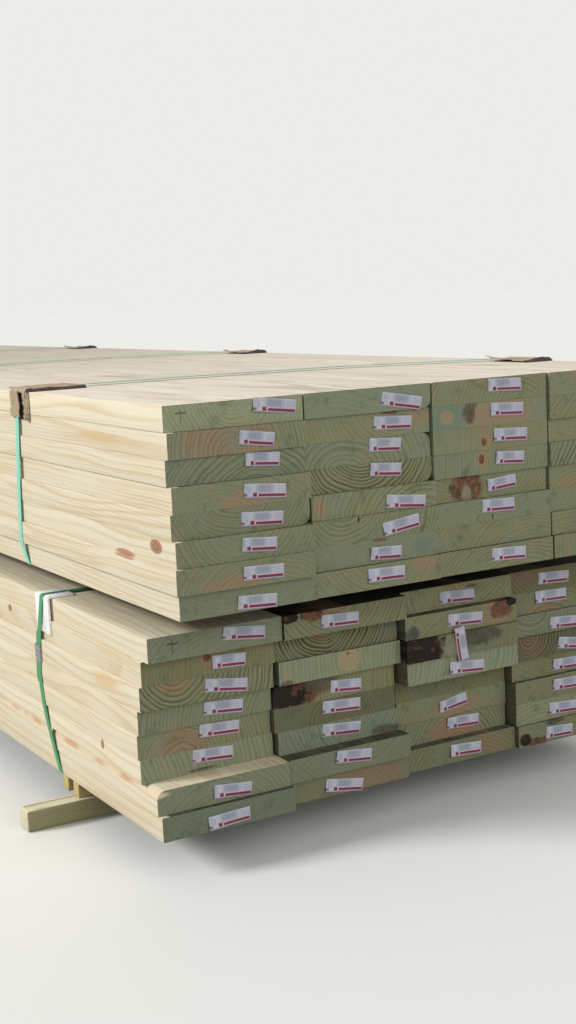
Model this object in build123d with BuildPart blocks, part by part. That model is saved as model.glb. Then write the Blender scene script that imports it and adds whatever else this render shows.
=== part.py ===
"""Two strapped bundles of sawn boards, one set on the other over flat spacers.

Each bundle is four boards wide and eight high, tied by four flat straps over corner
protectors. The lower bundle stands on pairs of sticks laid over timbers on the ground.
X runs across the boards, Y along them away from the tagged ends, Z up from the ground.
The origin is on the ground under the middle of the stack. Millimetres.
"""

import os

from build123d import *

os.makedirs("parts", exist_ok=True)

# Boards: sold as two by ten inches, fourteen feet long, a little swollen by treating
BOARD_WIDTH = 236.0
BOARD_THICKNESS = 39.7
BOARD_LENGTH = 4267.0
EASED_EDGE = 3.0
COLUMNS = 4
LAYERS = 8
COLUMN_GAP = 3.0

# How far the lower bundle lies from the upper one, to the left and back from its end
LOWER_LEFT_BY = 21.0
LOWER_BACK_BY = 80.0

# Each board's end stands back from its bundle's end plane by this, layers from the top
UPPER_SET_BACKS = (
    (5, 5, 5, 0),
    (-5, 10, 5, 0),
    (0, 10, 5, 5),
    (-10, 10, 5, 0),
    (-10, 0, 10, 5),
    (-20, -5, 0, 5),
    (-25, -5, 0, 0),
    (-15, -10, -5, -5),
)
LOWER_SET_BACKS = (
    (-10, -15, 10, 15),
    (10, 10, -10, 15),
    (10, 5, -15, 10),
    (20, 15, -10, 5),
    (25, 15, 30, 15),
    (25, 15, 30, 5),
    (-20, -15, 30, 5),
    (-30, -5, 10, 0),
)
# Each board lies to the right of its even place by this, layers from the top
UPPER_SIDE_SHIFTS = (
    (0, 0, 0, 0),
    (0, 0, 0, 0),
    (-3, 0, 0, 0),
    (0, 2, 0, 0),
    (-4, 2, 0, 0),
    (-3, 0, 0, 0),
    (-7, 0, 0, 0),
    (0, 0, 0, 0),
)
LOWER_SIDE_SHIFTS = (
    (3, 1, 3, 2),
    (-1, -3, -2, 2),
    (-6, -1, -3, 3),
    (-7, -9, -1, 3),
    (-8, -9, -1, 1),
    (-5, -3, 0, 1),
    (0, 0, -2, 1),
    (2, 1, 4, 2),
)
# Corners rounded more than the rest by the bark side of the log: layer, column, corner, radius
UPPER_WANE = {
    (1, 2): ("bottom right", 14.0),
    (3, 2): ("top right", 16.0),
    (4, 2): ("bottom right", 18.0),
    (5, 1): ("bottom right", 16.0),
}
LOWER_WANE = {
    (4, 2): ("top left", 14.0),
    (7, 1): ("top left", 14.0),
}

# Stations, where the sticks and timbers cross under the boards
STATIONS = 4
FIRST_STATION = 428.0
LAST_STATION_FROM_FAR_END = 461.0

# Sticks in pairs under the lower bundle, the strap passing between the two
STICK_WIDTH = 24.0
STICK_THICKNESS = 25.0
STICK_GAP = 23.0

# Timbers on the ground: the front one shows at the left, the rear one is hidden
TIMBER_WIDTH = 40.0
TIMBER_THICKNESS = 38.0
TIMBER_LENGTH = 1219.0
TIMBER_PROUD = 98.0
TIMBER_GROOVE_WIDTH = 3.0
TIMBER_GROOVE_DEPTH = 4.0
TIMBER_GROOVE_FROM_BACK = 12.0
REAR_TIMBER_LENGTH = 860.0
REAR_TIMBER_RECESS = 60.0

# Flat spacers between the bundles
SPACER_WIDTH = 89.0
SPACER_THICKNESS = 38.0
SPACER_RECESS = 110.0
SPACER_BACK = -28.0

# Straps: flat band, with the way its middle line wanders on each side of a bundle.
# Each pair is a share of the side's length and a place along the boards from the station.
STRAP_WIDTH = 16.0
STRAP_THICKNESS = 1.0
STRAP_CLEARANCE = 0.3
UPPER_STRAP_LEFT = ((0.0, 180.0), (0.6, 197.0), (0.85, 201.0), (1.0, 188.0))
UPPER_STRAP_BOTTOM = ((0.0, 188.0), (1.0, 42.0))
UPPER_STRAP_RIGHT = ((0.0, -45.0), (1.0, 42.0))
UPPER_STRAP_TOP = ((0.0, 180.0), (0.34, 168.0), (0.67, 112.0), (1.0, -45.0))
# The lower straps pass under their bundle just behind the sticks
STRAP_BEHIND_STICK = 3.0
LOWER_STRAP_UNDER = STICK_GAP / 2 + STICK_WIDTH + STRAP_BEHIND_STICK + STRAP_WIDTH / 2
LOWER_STRAP_LEFT = (
    (0.0, 68.0),
    (0.2, 86.0),
    (0.45, 94.0),
    (0.7, 76.0),
    (0.9, 58.0),
    (1.0, LOWER_STRAP_UNDER),
)
LOWER_STRAP_BOTTOM = ((0.0, LOWER_STRAP_UNDER), (1.0, LOWER_STRAP_UNDER))
LOWER_STRAP_RIGHT = ((0.0, 42.0), (1.0, LOWER_STRAP_UNDER))
LOWER_STRAP_TOP = ((0.0, 68.0), (1.0, 42.0))

# The lapped joint of the lower straps and the clip crimped over it, on the left side
LAP_SHARE = (0.21, 0.5)
LAP_OFFSET = 6.0
CLIP_SHARE = (0.265, 0.4)
CLIP_THICKNESS = 1.2
CLIP_LIP = 2.5
CLIP_CLEARANCE = 0.2

# Corner protectors: folded board under the upper straps, plastic under the lower ones
UPPER_PROTECTOR_THICKNESS = 3.0
UPPER_PROTECTOR_TOP_LEG = 110.0
UPPER_PROTECTOR_SIDE_LEG = 50.0
UPPER_PROTECTOR_LENGTH = 105.0
UPPER_RIGHT_TOP_LEG = 60.0
UPPER_RIGHT_LENGTH = 130.0
UPPER_RIGHT_FORWARD = 45.0
LOWER_PROTECTOR_THICKNESS = 2.5
LOWER_PROTECTOR_TOP_LEG = 45.0
LOWER_PROTECTOR_SIDE_LEG = 64.0
LOWER_PROTECTOR_LENGTH = 62.0
PROTECTOR_BEND = 2.0

# What the sizes above lead to
COLUMN_PITCH = BOARD_WIDTH + COLUMN_GAP
BUNDLE_WIDTH = COLUMNS * BOARD_WIDTH + (COLUMNS - 1) * COLUMN_GAP
BUNDLE_HEIGHT = LAYERS * BOARD_THICKNESS
LOWER_LEFT = TIMBER_PROUD - TIMBER_LENGTH / 2
UPPER_LEFT = LOWER_LEFT + LOWER_LEFT_BY
UPPER_END = -BOARD_LENGTH / 2 - LOWER_BACK_BY / 2
LOWER_END = UPPER_END + LOWER_BACK_BY
LOWER_UNDERSIDE = TIMBER_THICKNESS + STICK_THICKNESS
LOWER_TOP = LOWER_UNDERSIDE + BUNDLE_HEIGHT
UPPER_UNDERSIDE = LOWER_TOP + SPACER_THICKNESS
UPPER_TOP = UPPER_UNDERSIDE + BUNDLE_HEIGHT
STATION_SPACING = (BOARD_LENGTH - FIRST_STATION - LAST_STATION_FROM_FAR_END) / (STATIONS - 1)
STATION_PLACES = [UPPER_END + FIRST_STATION + k * STATION_SPACING for k in range(STATIONS)]
# How far the bodies that trim a strap run past a bundle's sides, and in from its corners
PAST = 20.0
CORNER_REACH = 4.0

BUNDLES = {
    "upper": {
        "left": UPPER_LEFT,
        "end": UPPER_END,
        "underside": UPPER_UNDERSIDE,
        "set_backs": UPPER_SET_BACKS,
        "side_shifts": UPPER_SIDE_SHIFTS,
        "wane": UPPER_WANE,
        "routes": (UPPER_STRAP_LEFT, UPPER_STRAP_BOTTOM, UPPER_STRAP_RIGHT, UPPER_STRAP_TOP),
        "protectors": {
            "left": (UPPER_PROTECTOR_TOP_LEG, UPPER_PROTECTOR_SIDE_LEG, UPPER_PROTECTOR_THICKNESS),
            "right": (UPPER_RIGHT_TOP_LEG, UPPER_PROTECTOR_SIDE_LEG, UPPER_PROTECTOR_THICKNESS),
        },
    },
    "lower": {
        "left": LOWER_LEFT,
        "end": LOWER_END,
        "underside": LOWER_UNDERSIDE,
        "set_backs": LOWER_SET_BACKS,
        "side_shifts": LOWER_SIDE_SHIFTS,
        "wane": LOWER_WANE,
        "routes": (LOWER_STRAP_LEFT, LOWER_STRAP_BOTTOM, LOWER_STRAP_RIGHT, LOWER_STRAP_TOP),
        "protectors": {
            "left": (LOWER_PROTECTOR_TOP_LEG, LOWER_PROTECTOR_SIDE_LEG, LOWER_PROTECTOR_THICKNESS),
            "right": (LOWER_PROTECTOR_TOP_LEG, LOWER_PROTECTOR_SIDE_LEG, LOWER_PROTECTOR_THICKNESS),
        },
    },
}


def save(part, name):
    """Names a finished piece and writes it out."""
    part.label = name
    export_step(part, f"parts/{name}.step")


def board_middle(bundle, layer, column):
    """The middle of a board's section, across the stack and up."""
    across = bundle["left"] + (column - 1) * COLUMN_PITCH + BOARD_WIDTH / 2
    across += bundle["side_shifts"][layer - 1][column - 1]
    up = bundle["underside"] + (LAYERS - layer + 0.5) * BOARD_THICKNESS
    return across, up


def corner_of(vertices, corner):
    """The vertex of a board's section at a named corner."""
    across = 1 if "right" in corner else -1
    up = 1 if "top" in corner else -1
    return vertices.sort_by(lambda v: across * v.X + up * v.Y)[-1]


def make_layer(bundle, layer):
    """One layer of boards lying side by side, each with its own end place."""
    with BuildPart() as boards:
        for column in range(1, COLUMNS + 1):
            end = bundle["end"] + bundle["set_backs"][layer - 1][column - 1]
            with BuildSketch(Plane.XZ.offset(-end)) as section:
                with Locations(board_middle(bundle, layer, column)):
                    Rectangle(BOARD_WIDTH, BOARD_THICKNESS)
                corners = section.vertices()
                if (layer, column) in bundle["wane"]:
                    corner, radius = bundle["wane"][layer, column]
                    rounded = corner_of(corners, corner)
                    corners = [v for v in corners if v != rounded]
                    fillet(corners, EASED_EDGE)
                    fillet(corner_of(section.vertices(), corner), radius)
                else:
                    fillet(corners, EASED_EDGE)
            extrude(amount=-BOARD_LENGTH)
    return boards.part


def make_bars(places, length, width, thickness, left, underside):
    """Like bars lying across the stack, their middles at the given places along it."""
    with BuildPart() as bars:
        with BuildSketch(Plane.XY.offset(underside)):
            with Locations(*[(left + length / 2, place) for place in places]):
                Rectangle(length, width)
        extrude(amount=thickness)
    return bars.part


def make_ground_timbers():
    """The timbers that stand on the ground, a grooved front one and a rear one at each station."""
    stick_middle = (STICK_GAP + STICK_WIDTH) / 2
    front = [place - stick_middle for place in STATION_PLACES]
    rear = [place + stick_middle for place in STATION_PLACES]
    groove_back = TIMBER_WIDTH / 2 - TIMBER_GROOVE_FROM_BACK
    with BuildPart() as timbers:
        with BuildSketch():
            with Locations(*[(0, place) for place in front]):
                Rectangle(TIMBER_LENGTH, TIMBER_WIDTH)
            rear_middle = LOWER_LEFT + REAR_TIMBER_RECESS + REAR_TIMBER_LENGTH / 2
            with Locations(*[(rear_middle, place) for place in rear]):
                Rectangle(REAR_TIMBER_LENGTH, TIMBER_WIDTH)
        extrude(amount=TIMBER_THICKNESS)
        with BuildSketch(Plane.XY.offset(TIMBER_THICKNESS - TIMBER_GROOVE_DEPTH)):
            with Locations(*[(0, place + groove_back) for place in front]):
                Rectangle(TIMBER_LENGTH, TIMBER_GROOVE_WIDTH)
        extrude(amount=TIMBER_GROOVE_DEPTH, mode=Mode.SUBTRACT)
    return timbers.part


def protector_rectangles(bundle, side):
    """The two legs of a corner protector's section, each as low x, low z, high x, high z."""
    top_leg, side_leg, thickness = bundle["protectors"][side]
    top = bundle["underside"] + BUNDLE_HEIGHT
    covered = int(side_leg // BOARD_THICKNESS) + 1
    if side == "left":
        face = bundle["left"] + min(row[0] for row in bundle["side_shifts"][:covered])
        return (
            (face - thickness, top, face + top_leg, top + thickness),
            (face - thickness, top - side_leg, face, top + thickness),
        )
    face = bundle["left"] + BUNDLE_WIDTH + max(row[-1] for row in bundle["side_shifts"][:covered])
    return (
        (face - top_leg, top, face + thickness, top + thickness),
        (face, top - side_leg, face + thickness, top + thickness),
    )


def put_rectangle(low_x, low_z, high_x, high_z):
    """A rectangle of the open sketch between two opposite corners."""
    with Locations(((low_x + high_x) / 2, (low_z + high_z) / 2)):
        Rectangle(high_x - low_x, high_z - low_z)


def make_protectors(bundle, side, middles, length):
    """Bent corner protectors over one top edge of a bundle, their middles given along it."""
    with BuildPart() as protectors:
        for middle in middles:
            with BuildSketch(Plane.XZ.offset(length / 2 - middle)) as section:
                for rectangle in protector_rectangles(bundle, side):
                    put_rectangle(*rectangle)
                thickness = bundle["protectors"][side][2]
                outer = corner_of(section.vertices(), f"top {side}")
                fillet(outer, PROTECTOR_BEND + thickness)
            extrude(amount=-length)
    return protectors.part


def half_hull(points):
    """One side of the tight outline round sorted points."""
    chain = []
    for x, z in points:
        while len(chain) > 1:
            (x1, z1), (x2, z2) = chain[-2:]
            if (x2 - x1) * (z - z1) - (z2 - z1) * (x - x1) > 0:
                break
            chain.pop()
        chain.append((x, z))
    return chain[:-1]


def loop_around(bundle, stand_off):
    """The tight loop round a bundle's section and its protectors, grown by a stand-off."""
    corners = []
    for layer in range(1, LAYERS + 1):
        for column in (1, COLUMNS):
            across, up = board_middle(bundle, layer, column)
            for side_x in (-BOARD_WIDTH / 2, BOARD_WIDTH / 2):
                for side_z in (-BOARD_THICKNESS / 2, BOARD_THICKNESS / 2):
                    corners.append((across + side_x, up + side_z))
    for side in ("left", "right"):
        for low_x, low_z, high_x, high_z in protector_rectangles(bundle, side):
            corners += [(low_x, low_z), (low_x, high_z), (high_x, low_z), (high_x, high_z)]
    corners.sort()
    with BuildSketch() as loop:
        Polygon(*half_hull(corners), *half_hull(corners[::-1]), align=None)
        fillet(loop.vertices(), EASED_EDGE)
        offset(amount=stand_off)
    return loop.sketch


def make_sleeve(bundle, inner, outer):
    """A thin sleeve round the whole length of a bundle, which straps and clips are cut from."""
    with BuildPart() as sleeve:
        with BuildSketch(Plane.XZ.offset(-bundle["end"])):
            add(loop_around(bundle, outer))
            add(loop_around(bundle, inner), mode=Mode.SUBTRACT)
        extrude(amount=-BOARD_LENGTH)
    return sleeve.part


def along_side(route, start, length, place):
    """A strap's middle line on one side of a bundle, run on past both ends of the side."""
    points = [(start + share * length, place + wander) for share, wander in route]
    step = PAST if length > 0 else -PAST
    first = (points[0][0] - step, points[0][1])
    last = (points[-1][0] + step, points[-1][1])
    return [first, *points, last]


def band(points, half_width, upright):
    """The outline of a strap about its middle line, in plan or on an upright side."""
    low = [(along, place - half_width) for along, place in points]
    high = [(along, place + half_width) for along, place in reversed(points)]
    return [(place, along) if upright else (along, place) for along, place in low + high]


def upright_bands(route, top):
    """Outlines of the straps on one side of a bundle, at every station."""
    lines = [along_side(route, top, -BUNDLE_HEIGHT, place) for place in STATION_PLACES]
    return [band(line, STRAP_WIDTH / 2, upright=True) for line in lines]


def level_bands(route, left):
    """Outlines of the straps over the top or the underside of a bundle, at every station."""
    lines = [along_side(route, left, BUNDLE_WIDTH, place) for place in STATION_PLACES]
    return [band(line, STRAP_WIDTH / 2, upright=False) for line in lines]


def make_straps(bundle, lapped):
    """The straps pulled tight round a bundle, with their ends lapped on the left side or not."""
    left_route, bottom_route, right_route, top_route = bundle["routes"]
    left, underside = bundle["left"], bundle["underside"]
    right, top = left + BUNDLE_WIDTH, underside + BUNDLE_HEIGHT
    depth = PAST + CORNER_REACH
    with BuildPart() as bands:
        with BuildSketch(Plane.YZ.offset(left - PAST)):
            for outline in upright_bands(left_route, top):
                Polygon(*outline, align=None)
            if lapped:
                for outline in lap_bands(left_route, top, LAP_SHARE, LAP_OFFSET, STRAP_WIDTH / 2):
                    Polygon(*outline, align=None)
        extrude(amount=depth)
        with BuildSketch(Plane.YZ.offset(right - CORNER_REACH)):
            for outline in upright_bands(right_route, top):
                Polygon(*outline, align=None)
        extrude(amount=depth)
        with BuildSketch(Plane.XY.offset(top - CORNER_REACH)):
            for outline in level_bands(top_route, left):
                Polygon(*outline, align=None)
        extrude(amount=depth)
        with BuildSketch(Plane.XY.offset(underside - PAST)):
            for outline in level_bands(bottom_route, left):
                Polygon(*outline, align=None)
        extrude(amount=depth)
    with BuildPart() as straps:
        add(make_sleeve(bundle, STRAP_CLEARANCE, STRAP_CLEARANCE + STRAP_THICKNESS))
        add(bands.part, mode=Mode.INTERSECT)
    return straps.part


def lap_bands(route, top, shares, shift, half_width):
    """Outlines on the left side between two shares of its height, at every station."""
    stretch = part_of_route(route, *shares)
    lines = [
        [(top - share * BUNDLE_HEIGHT, place + wander + shift) for share, wander in stretch]
        for place in STATION_PLACES
    ]
    return [band(line, half_width, upright=True) for line in lines]


def part_of_route(route, start, end):
    """The stretch of a strap's middle line between two shares of its side."""

    def wander_at(share):
        for (share_a, wander_a), (share_b, wander_b) in zip(route, route[1:]):
            if share_a <= share <= share_b:
                return wander_a + (wander_b - wander_a) * (share - share_a) / (share_b - share_a)
        return route[-1][1]

    between = [(share, wander) for share, wander in route if start < share < end]
    return [(start, wander_at(start)), *between, (end, wander_at(end))]


def make_clips(bundle):
    """Clips crimped over the lapped strap ends, each an open channel round both bands."""
    top = bundle["underside"] + BUNDLE_HEIGHT
    route = bundle["routes"][0]
    room_half = (STRAP_WIDTH + LAP_OFFSET) / 2 + CLIP_CLEARANCE
    room_depth = STRAP_CLEARANCE + STRAP_THICKNESS + CLIP_CLEARANCE
    blocks = []
    for half, depth in ((room_half + CLIP_LIP, room_depth + CLIP_THICKNESS), (room_half, room_depth)):
        with BuildPart() as patches:
            with BuildSketch(Plane.YZ.offset(bundle["left"] - PAST)):
                for outline in lap_bands(route, top, CLIP_SHARE, LAP_OFFSET / 2, half):
                    Polygon(*outline, align=None)
            extrude(amount=PAST)
        with BuildPart() as block:
            add(make_sleeve(bundle, STRAP_CLEARANCE, depth))
            add(patches.part, mode=Mode.INTERSECT)
        blocks.append(block.part)
    with BuildPart() as clips:
        add(blocks[0])
        add(blocks[1], mode=Mode.SUBTRACT)
    return clips.part


for name, bundle in BUNDLES.items():
    for layer in range(1, LAYERS + 1):
        save(make_layer(bundle, layer), f"{name}_layer_{layer}")
    straps = make_straps(bundle, lapped=name == "lower")
    for number, strap in enumerate(straps.solids().sort_by(Axis.Y), start=1):
        save(strap, f"{name}_strap_{number}")

stick_places = [
    place + side * (STICK_GAP + STICK_WIDTH) / 2 for place in STATION_PLACES for side in (-1, 1)
]
spacer_places = [place + SPACER_BACK for place in STATION_PLACES]
spacer_length = BUNDLE_WIDTH - 2 * SPACER_RECESS
save(make_ground_timbers(), "ground_timbers")
save(
    make_bars(stick_places, BUNDLE_WIDTH, STICK_WIDTH, STICK_THICKNESS, LOWER_LEFT, TIMBER_THICKNESS),
    "sticks",
)
save(
    make_bars(
        spacer_places,
        spacer_length,
        SPACER_WIDTH,
        SPACER_THICKNESS,
        LOWER_LEFT + SPACER_RECESS,
        LOWER_TOP,
    ),
    "bundle_spacers",
)

upper, lower = BUNDLES["upper"], BUNDLES["lower"]
upper_left_middles = [place + UPPER_STRAP_TOP[0][1] for place in STATION_PLACES]
upper_right_middles = [place + UPPER_STRAP_TOP[-1][1] - UPPER_RIGHT_FORWARD for place in STATION_PLACES]
lower_left_middles = [place + LOWER_STRAP_TOP[0][1] for place in STATION_PLACES]
lower_right_middles = [place + LOWER_STRAP_TOP[-1][1] for place in STATION_PLACES]
save(
    make_protectors(upper, "left", upper_left_middles, UPPER_PROTECTOR_LENGTH), "upper_left_protectors"
)
save(
    make_protectors(upper, "right", upper_right_middles, UPPER_RIGHT_LENGTH), "upper_right_protectors"
)
save(
    make_protectors(lower, "left", lower_left_middles, LOWER_PROTECTOR_LENGTH), "lower_left_protectors"
)
save(
    make_protectors(lower, "right", lower_right_middles, LOWER_PROTECTOR_LENGTH), "lower_right_protectors"
)
save(make_clips(lower), "strap_clips")
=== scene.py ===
"""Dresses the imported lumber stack: treated boards, tags, straps, protectors and the stage around them."""

import math
import random

import bmesh
import bpy
import numpy as np
from bpy.props import FloatProperty, FloatVectorProperty, PointerProperty
from bpy.types import Operator, Panel, PropertyGroup
from mathutils import Matrix, Vector, noise


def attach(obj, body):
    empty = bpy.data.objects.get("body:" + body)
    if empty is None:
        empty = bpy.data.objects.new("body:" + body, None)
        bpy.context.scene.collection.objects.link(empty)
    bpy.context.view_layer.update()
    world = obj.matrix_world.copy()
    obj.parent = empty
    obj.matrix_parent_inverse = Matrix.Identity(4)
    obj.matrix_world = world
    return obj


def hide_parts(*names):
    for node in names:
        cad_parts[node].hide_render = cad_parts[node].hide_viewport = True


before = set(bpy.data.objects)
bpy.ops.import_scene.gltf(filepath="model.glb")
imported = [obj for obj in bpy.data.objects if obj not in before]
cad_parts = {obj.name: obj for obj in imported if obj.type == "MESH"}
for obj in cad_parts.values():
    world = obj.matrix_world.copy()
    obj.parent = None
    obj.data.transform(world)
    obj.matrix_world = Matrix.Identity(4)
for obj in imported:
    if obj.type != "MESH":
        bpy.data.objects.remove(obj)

bl_info = {
    "name": "Lumber stack",
    "version": (1, 0, 0),
    "blender": (4, 5, 0),
    "location": "3D View > Sidebar > Lumber",
    "description": "Dresses two strapped bundles of treated boards, one on the other",
    "category": "Object",
}

MM = 0.001
BODY = "root"
BUNDLES = ("upper", "lower")
LAYERS = 8
COLUMNS = 4
STATIONS = 4
# Points nearer than this are in one place, and a face looks a way if its normal has this share of it
NEAR = 0.1 * MM
FACING = 0.9
SMOOTH_ANGLE = 40
# Random places in a noise pattern are drawn up to this
NOISE_SHIFT = 50

# How each board's near end looks, one row a layer from the top and one entry a column from the left:
# where the pith lies, in millimetres across and up from the board's lower left corner, the width of a
# ring, how dark the rings are, and how olive rather than bluish the wood is, from 0 to 1.
# A pith above the board bends its rings like a smile, and one below it like a frown.
UPPER_GRAIN = (
    ((118, 58, 7, 0.6, 0.4), (60, -90, 9, 0.3, 0.1), (172, -35, 7, 0.8, 0.7), (60, -150, 8, 0.3, 0.4)),
    ((102, 1, 7.5, 0.85, 0.5), (175, 75, 7, 0.55, 0.7), (320, 60, 7, 0.3, 0.3), (120, -60, 8, 0.9, 0.6)),
    ((150, -60, 8, 1, 0.2), (73, -30, 9.5, 0.75, 0.3), (420, 30, 6, 0.5, 0.7), (90, 190, 8, 0.3, 0.7)),
    ((60, -120, 8, 0.35, 0.5), (110, 85, 6, 1.5, 0.7), (380, -10, 6.5, 0.6, 0.4), (150, -60, 8, 1.3, 0.4)),
    ((105, 70, 6, 0.7, 0.5), (205, -40, 9, 1, 0.6), (60, 130, 6.5, 0.6, 0.8), (100, -110, 7.5, 0.7, 0.8)),
    ((110, 80, 8, 0.6, 0.5), (60, 80, 7, 0.9, 0.5), (150, 140, 8, 0.3, 0.3), (180, 130, 8, 0.4, 0.5)),
    ((150, -70, 8, 0.5, 0.5), (120, -140, 8, 0.3, 0.3), (190, -90, 7, 0.8, 0.7), (40, -90, 8, 0.6, 0.6)),
    ((100, 170, 8, 0.3, 0.2), (110, 90, 8, 0.5, 0.6), (170, -120, 7, 0.8, 0.6), (420, 20, 7, 0.5, 0.6)),
)
LOWER_GRAIN = (
    ((170, -150, 8, 0.4, 0.2), (96, 70, 7.5, 1, 0.7), (150, 60, 7, 1, 0.9), (120, 110, 7, 0.8, 1)),
    ((-200, 20, 7, 0.5, 1), (90, 52, 6.5, 1.7, 0.9), (130, -130, 8, 0.4, 0.8), (90, -60, 7.5, 0.8, 0.6)),
    ((60, 60, 8, 1.3, 0.6), (420, 30, 8, 0.6, 0.3), (-90, 60, 8, 0.6, 0.7), (40, 60, 8, 1, 0.3)),
    ((280, -20, 7.5, 0.8, 0.5), (-150, 20, 7, 0.7, 0.9), (-120, 60, 9, 0.7, 0.2), (30, 40, 6.5, 1.8, 0.8)),
    ((75, -13, 7, 0.9, 0.7), (130, -6, 6, 0.9, 0.8), (300, 160, 7, 0.5, 1), (100, 140, 7.5, 0.6, 0.8)),
    ((-120, -40, 8, 0.8, 0.3), (150, 60, 7.5, 0.8, 0.1), (126, -60, 8, 0.4, 0.7), (150, -60, 8, 0.4, 0.6)),
    ((105, -60, 8, 0.6, 0.2), (130, 130, 8, 0.4, 0.2), (125, -25, 7, 1.1, 0.6), (60, -100, 8, 0.5, 0.5)),
    ((110, 120, 8, 0.3, 0), (90, -60, 8, 0.5, 0.6), (140, -70, 7.5, 0.7, 0.6), (80, 70, 7.5, 0.7, 0.6)),
)
GRAIN = {"upper": UPPER_GRAIN, "lower": LOWER_GRAIN}

# Boards with orange heartwood round the pith, and its radius in millimetres
HEARTS = {
    ("upper", 2, 1): 78,
    ("lower", 2, 2): 22,
    ("lower", 3, 1): 44,
    ("lower", 4, 4): 30,
    ("lower", 5, 1): 60,
    ("lower", 5, 2): 14,
    ("lower", 7, 3): 58,
    ("lower", 8, 2): 40,
}
NO_HEART = -1.0

# Marks on the boards' near ends: kind, place across and up, half width and half height, in millimetres
END_MARKS = {
    ("upper", 1, 1): (("cross", 29, 27, 9, 9),),
    ("upper", 4, 1): (("stain", 126, 4, 48, 20),),
    ("upper", 7, 1): (("stain", 92, 5, 50, 17),),
    ("upper", 2, 2): (("stain", 214, 27, 24, 14), ("pocket", 160, 38, 18, 4)),
    ("upper", 5, 2): (("stain", 14, 20, 12, 18),),
    ("upper", 6, 2): (("bark", 84, 35, 2, 6),),
    ("upper", 7, 2): (("pocket", 122, 37, 18, 3), ("smear", 205, 20, 22, 14)),
    ("upper", 8, 2): (("stain", 205, 30, 26, 14),),
    ("upper", 2, 3): (
        ("smear", 27, 20, 42, 30),
        ("knot", 29, 20, 14, 12),
        ("stain", 134, 17, 76, 44),
        ("mauve", 74, 26, 19, 24),
    ),
    ("upper", 3, 3): (("stain", 106, 19, 15, 22), ("pocket", 102, 14, 6, 7)),
    ("upper", 4, 3): (("stain", 98, 23, 15, 17), ("pocket", 96, 25, 6, 11)),
    ("upper", 5, 3): (("pocket", 68, 22, 38, 34), ("scar", 66, 8, 12, 20)),
    ("upper", 5, 4): (("stain", 60, 8, 42, 12),),
    ("upper", 6, 3): (("stain", 28, 22, 8, 3), ("mauve", 112, 8, 2, 7)),
    ("upper", 8, 4): (("stain", 30, 20, 5, 26),),
    ("lower", 1, 1): (("cross", 42, 26, 10, 10),),
    ("lower", 2, 1): (("pocket", 114, 28, 8, 8), ("stain", 116, 24, 26, 18)),
    ("lower", 6, 1): (("mauve", 108, 5, 34, 3),),
    ("lower", 1, 2): (("bark", 10, 35, 20, 10), ("pocket", 54, 34, 26, 12), ("stain", 92, 36, 34, 7)),
    ("lower", 2, 2): (("stain", 78, 32, 20, 8),),
    ("lower", 3, 2): (("knot", 134, 22, 24, 18), ("pocket", 132, 34, 4, 3), ("mauve", 14, 3, 14, 6)),
    ("lower", 4, 2): (("bark", 24, 24, 52, 30), ("mauve", 84, 27, 46, 20), ("pocket", 60, 10, 30, 12)),
    ("lower", 6, 2): (("smear", 200, 12, 34, 16), ("mauve", 208, 7, 36, 10)),
    ("lower", 8, 2): (("stain", 150, 18, 80, 30),),
    ("lower", 1, 3): (("stain", 120, 35, 36, 6), ("mauve", 150, 32, 16, 3)),
    ("lower", 2, 3): (
        ("pocket", 202, 26, 30, 19),
        ("stain", 192, 26, 40, 26),
        ("smear", 14, 10, 20, 16),
        ("mauve", 14, 8, 20, 16),
        ("bark", 226, 36, 14, 8),
    ),
    ("lower", 3, 3): (
        ("bark", 30, 20, 58, 36),
        ("pocket", 52, 12, 24, 14),
        ("mauve", 142, 29, 66, 24),
        ("scar", 88, 18, 14, 22),
    ),
    ("lower", 6, 3): (("stain", 130, 12, 54, 24),),
    ("lower", 7, 3): (("stain", 126, 12, 66, 30),),
    ("lower", 8, 3): (("stain", 176, 22, 28, 20),),
    ("lower", 1, 4): (("stain", 40, 30, 60, 18),),
    ("lower", 2, 4): (("stain", 70, 6, 44, 9),),
    ("lower", 4, 4): (("stain", 40, 14, 30, 18),),
    ("lower", 8, 4): (("pocket", 40, 6, 28, 10), ("bark", 14, 12, 14, 12), ("mauve", 84, 36, 30, 6)),
}

# Marks on the left faces: kind, place back from the near end, place up from the underside, half length
# and half height, in millimetres
SIDE_MARKS = {
    ("upper", 2, 1): (("side_patch", 240, 20, 100, 9),),
    ("upper", 6, 1): (("side_knot", 68, 27, 23, 12), ("side_streak", 186, 3, 44, 6)),
    ("upper", 7, 1): (("side_streak", 186, 38, 44, 4),),
    ("lower", 2, 1): (("side_knot", 590, 28, 10, 7),),
    ("lower", 3, 1): (("side_patch", 130, 24, 60, 16),),
    ("lower", 6, 1): (("side_knot", 150, 29, 7, 9),),
    ("lower", 7, 1): (("side_row", 330, 33, 480, 9),),
}

# How far each kind of mark reaches into the board, in millimetres
MARK_DEPTHS = {
    "knot": 60,
    "bark": 90,
    "pocket": 90,
    "mauve": 90,
    "scar": 90,
    "stain": 400,
    "smear": 8,
    "cross": 3,
}
SIDE_MARK_DEPTH = 40
MARK_KINDS = (*MARK_DEPTHS, "side_knot", "side_patch", "side_streak", "side_row")
# What a board without a kind of mark stores for it
FAR_AWAY = 90.0

# Boards cut from near the bark: the corner that it rounded and the radius there, in millimetres
WANES = {
    ("upper", 1, 2): ("bottom right", 14),
    ("upper", 3, 2): ("top right", 16),
    ("upper", 4, 2): ("bottom right", 18),
    ("upper", 5, 1): ("bottom right", 16),
    ("lower", 4, 2): ("top left", 14),
    ("lower", 7, 1): ("top left", 14),
}

# How open to the sun and rain a top face is that another board partly covers, and how wide a strip
# along the left edge of every left board is open, in metres
# Faces that are less open take the sheltered colour, which holds painted shade
HALF_OPEN = {("lower", 7, 1): 0.8}
OPEN_EDGE = 2.0 * MM
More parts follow.
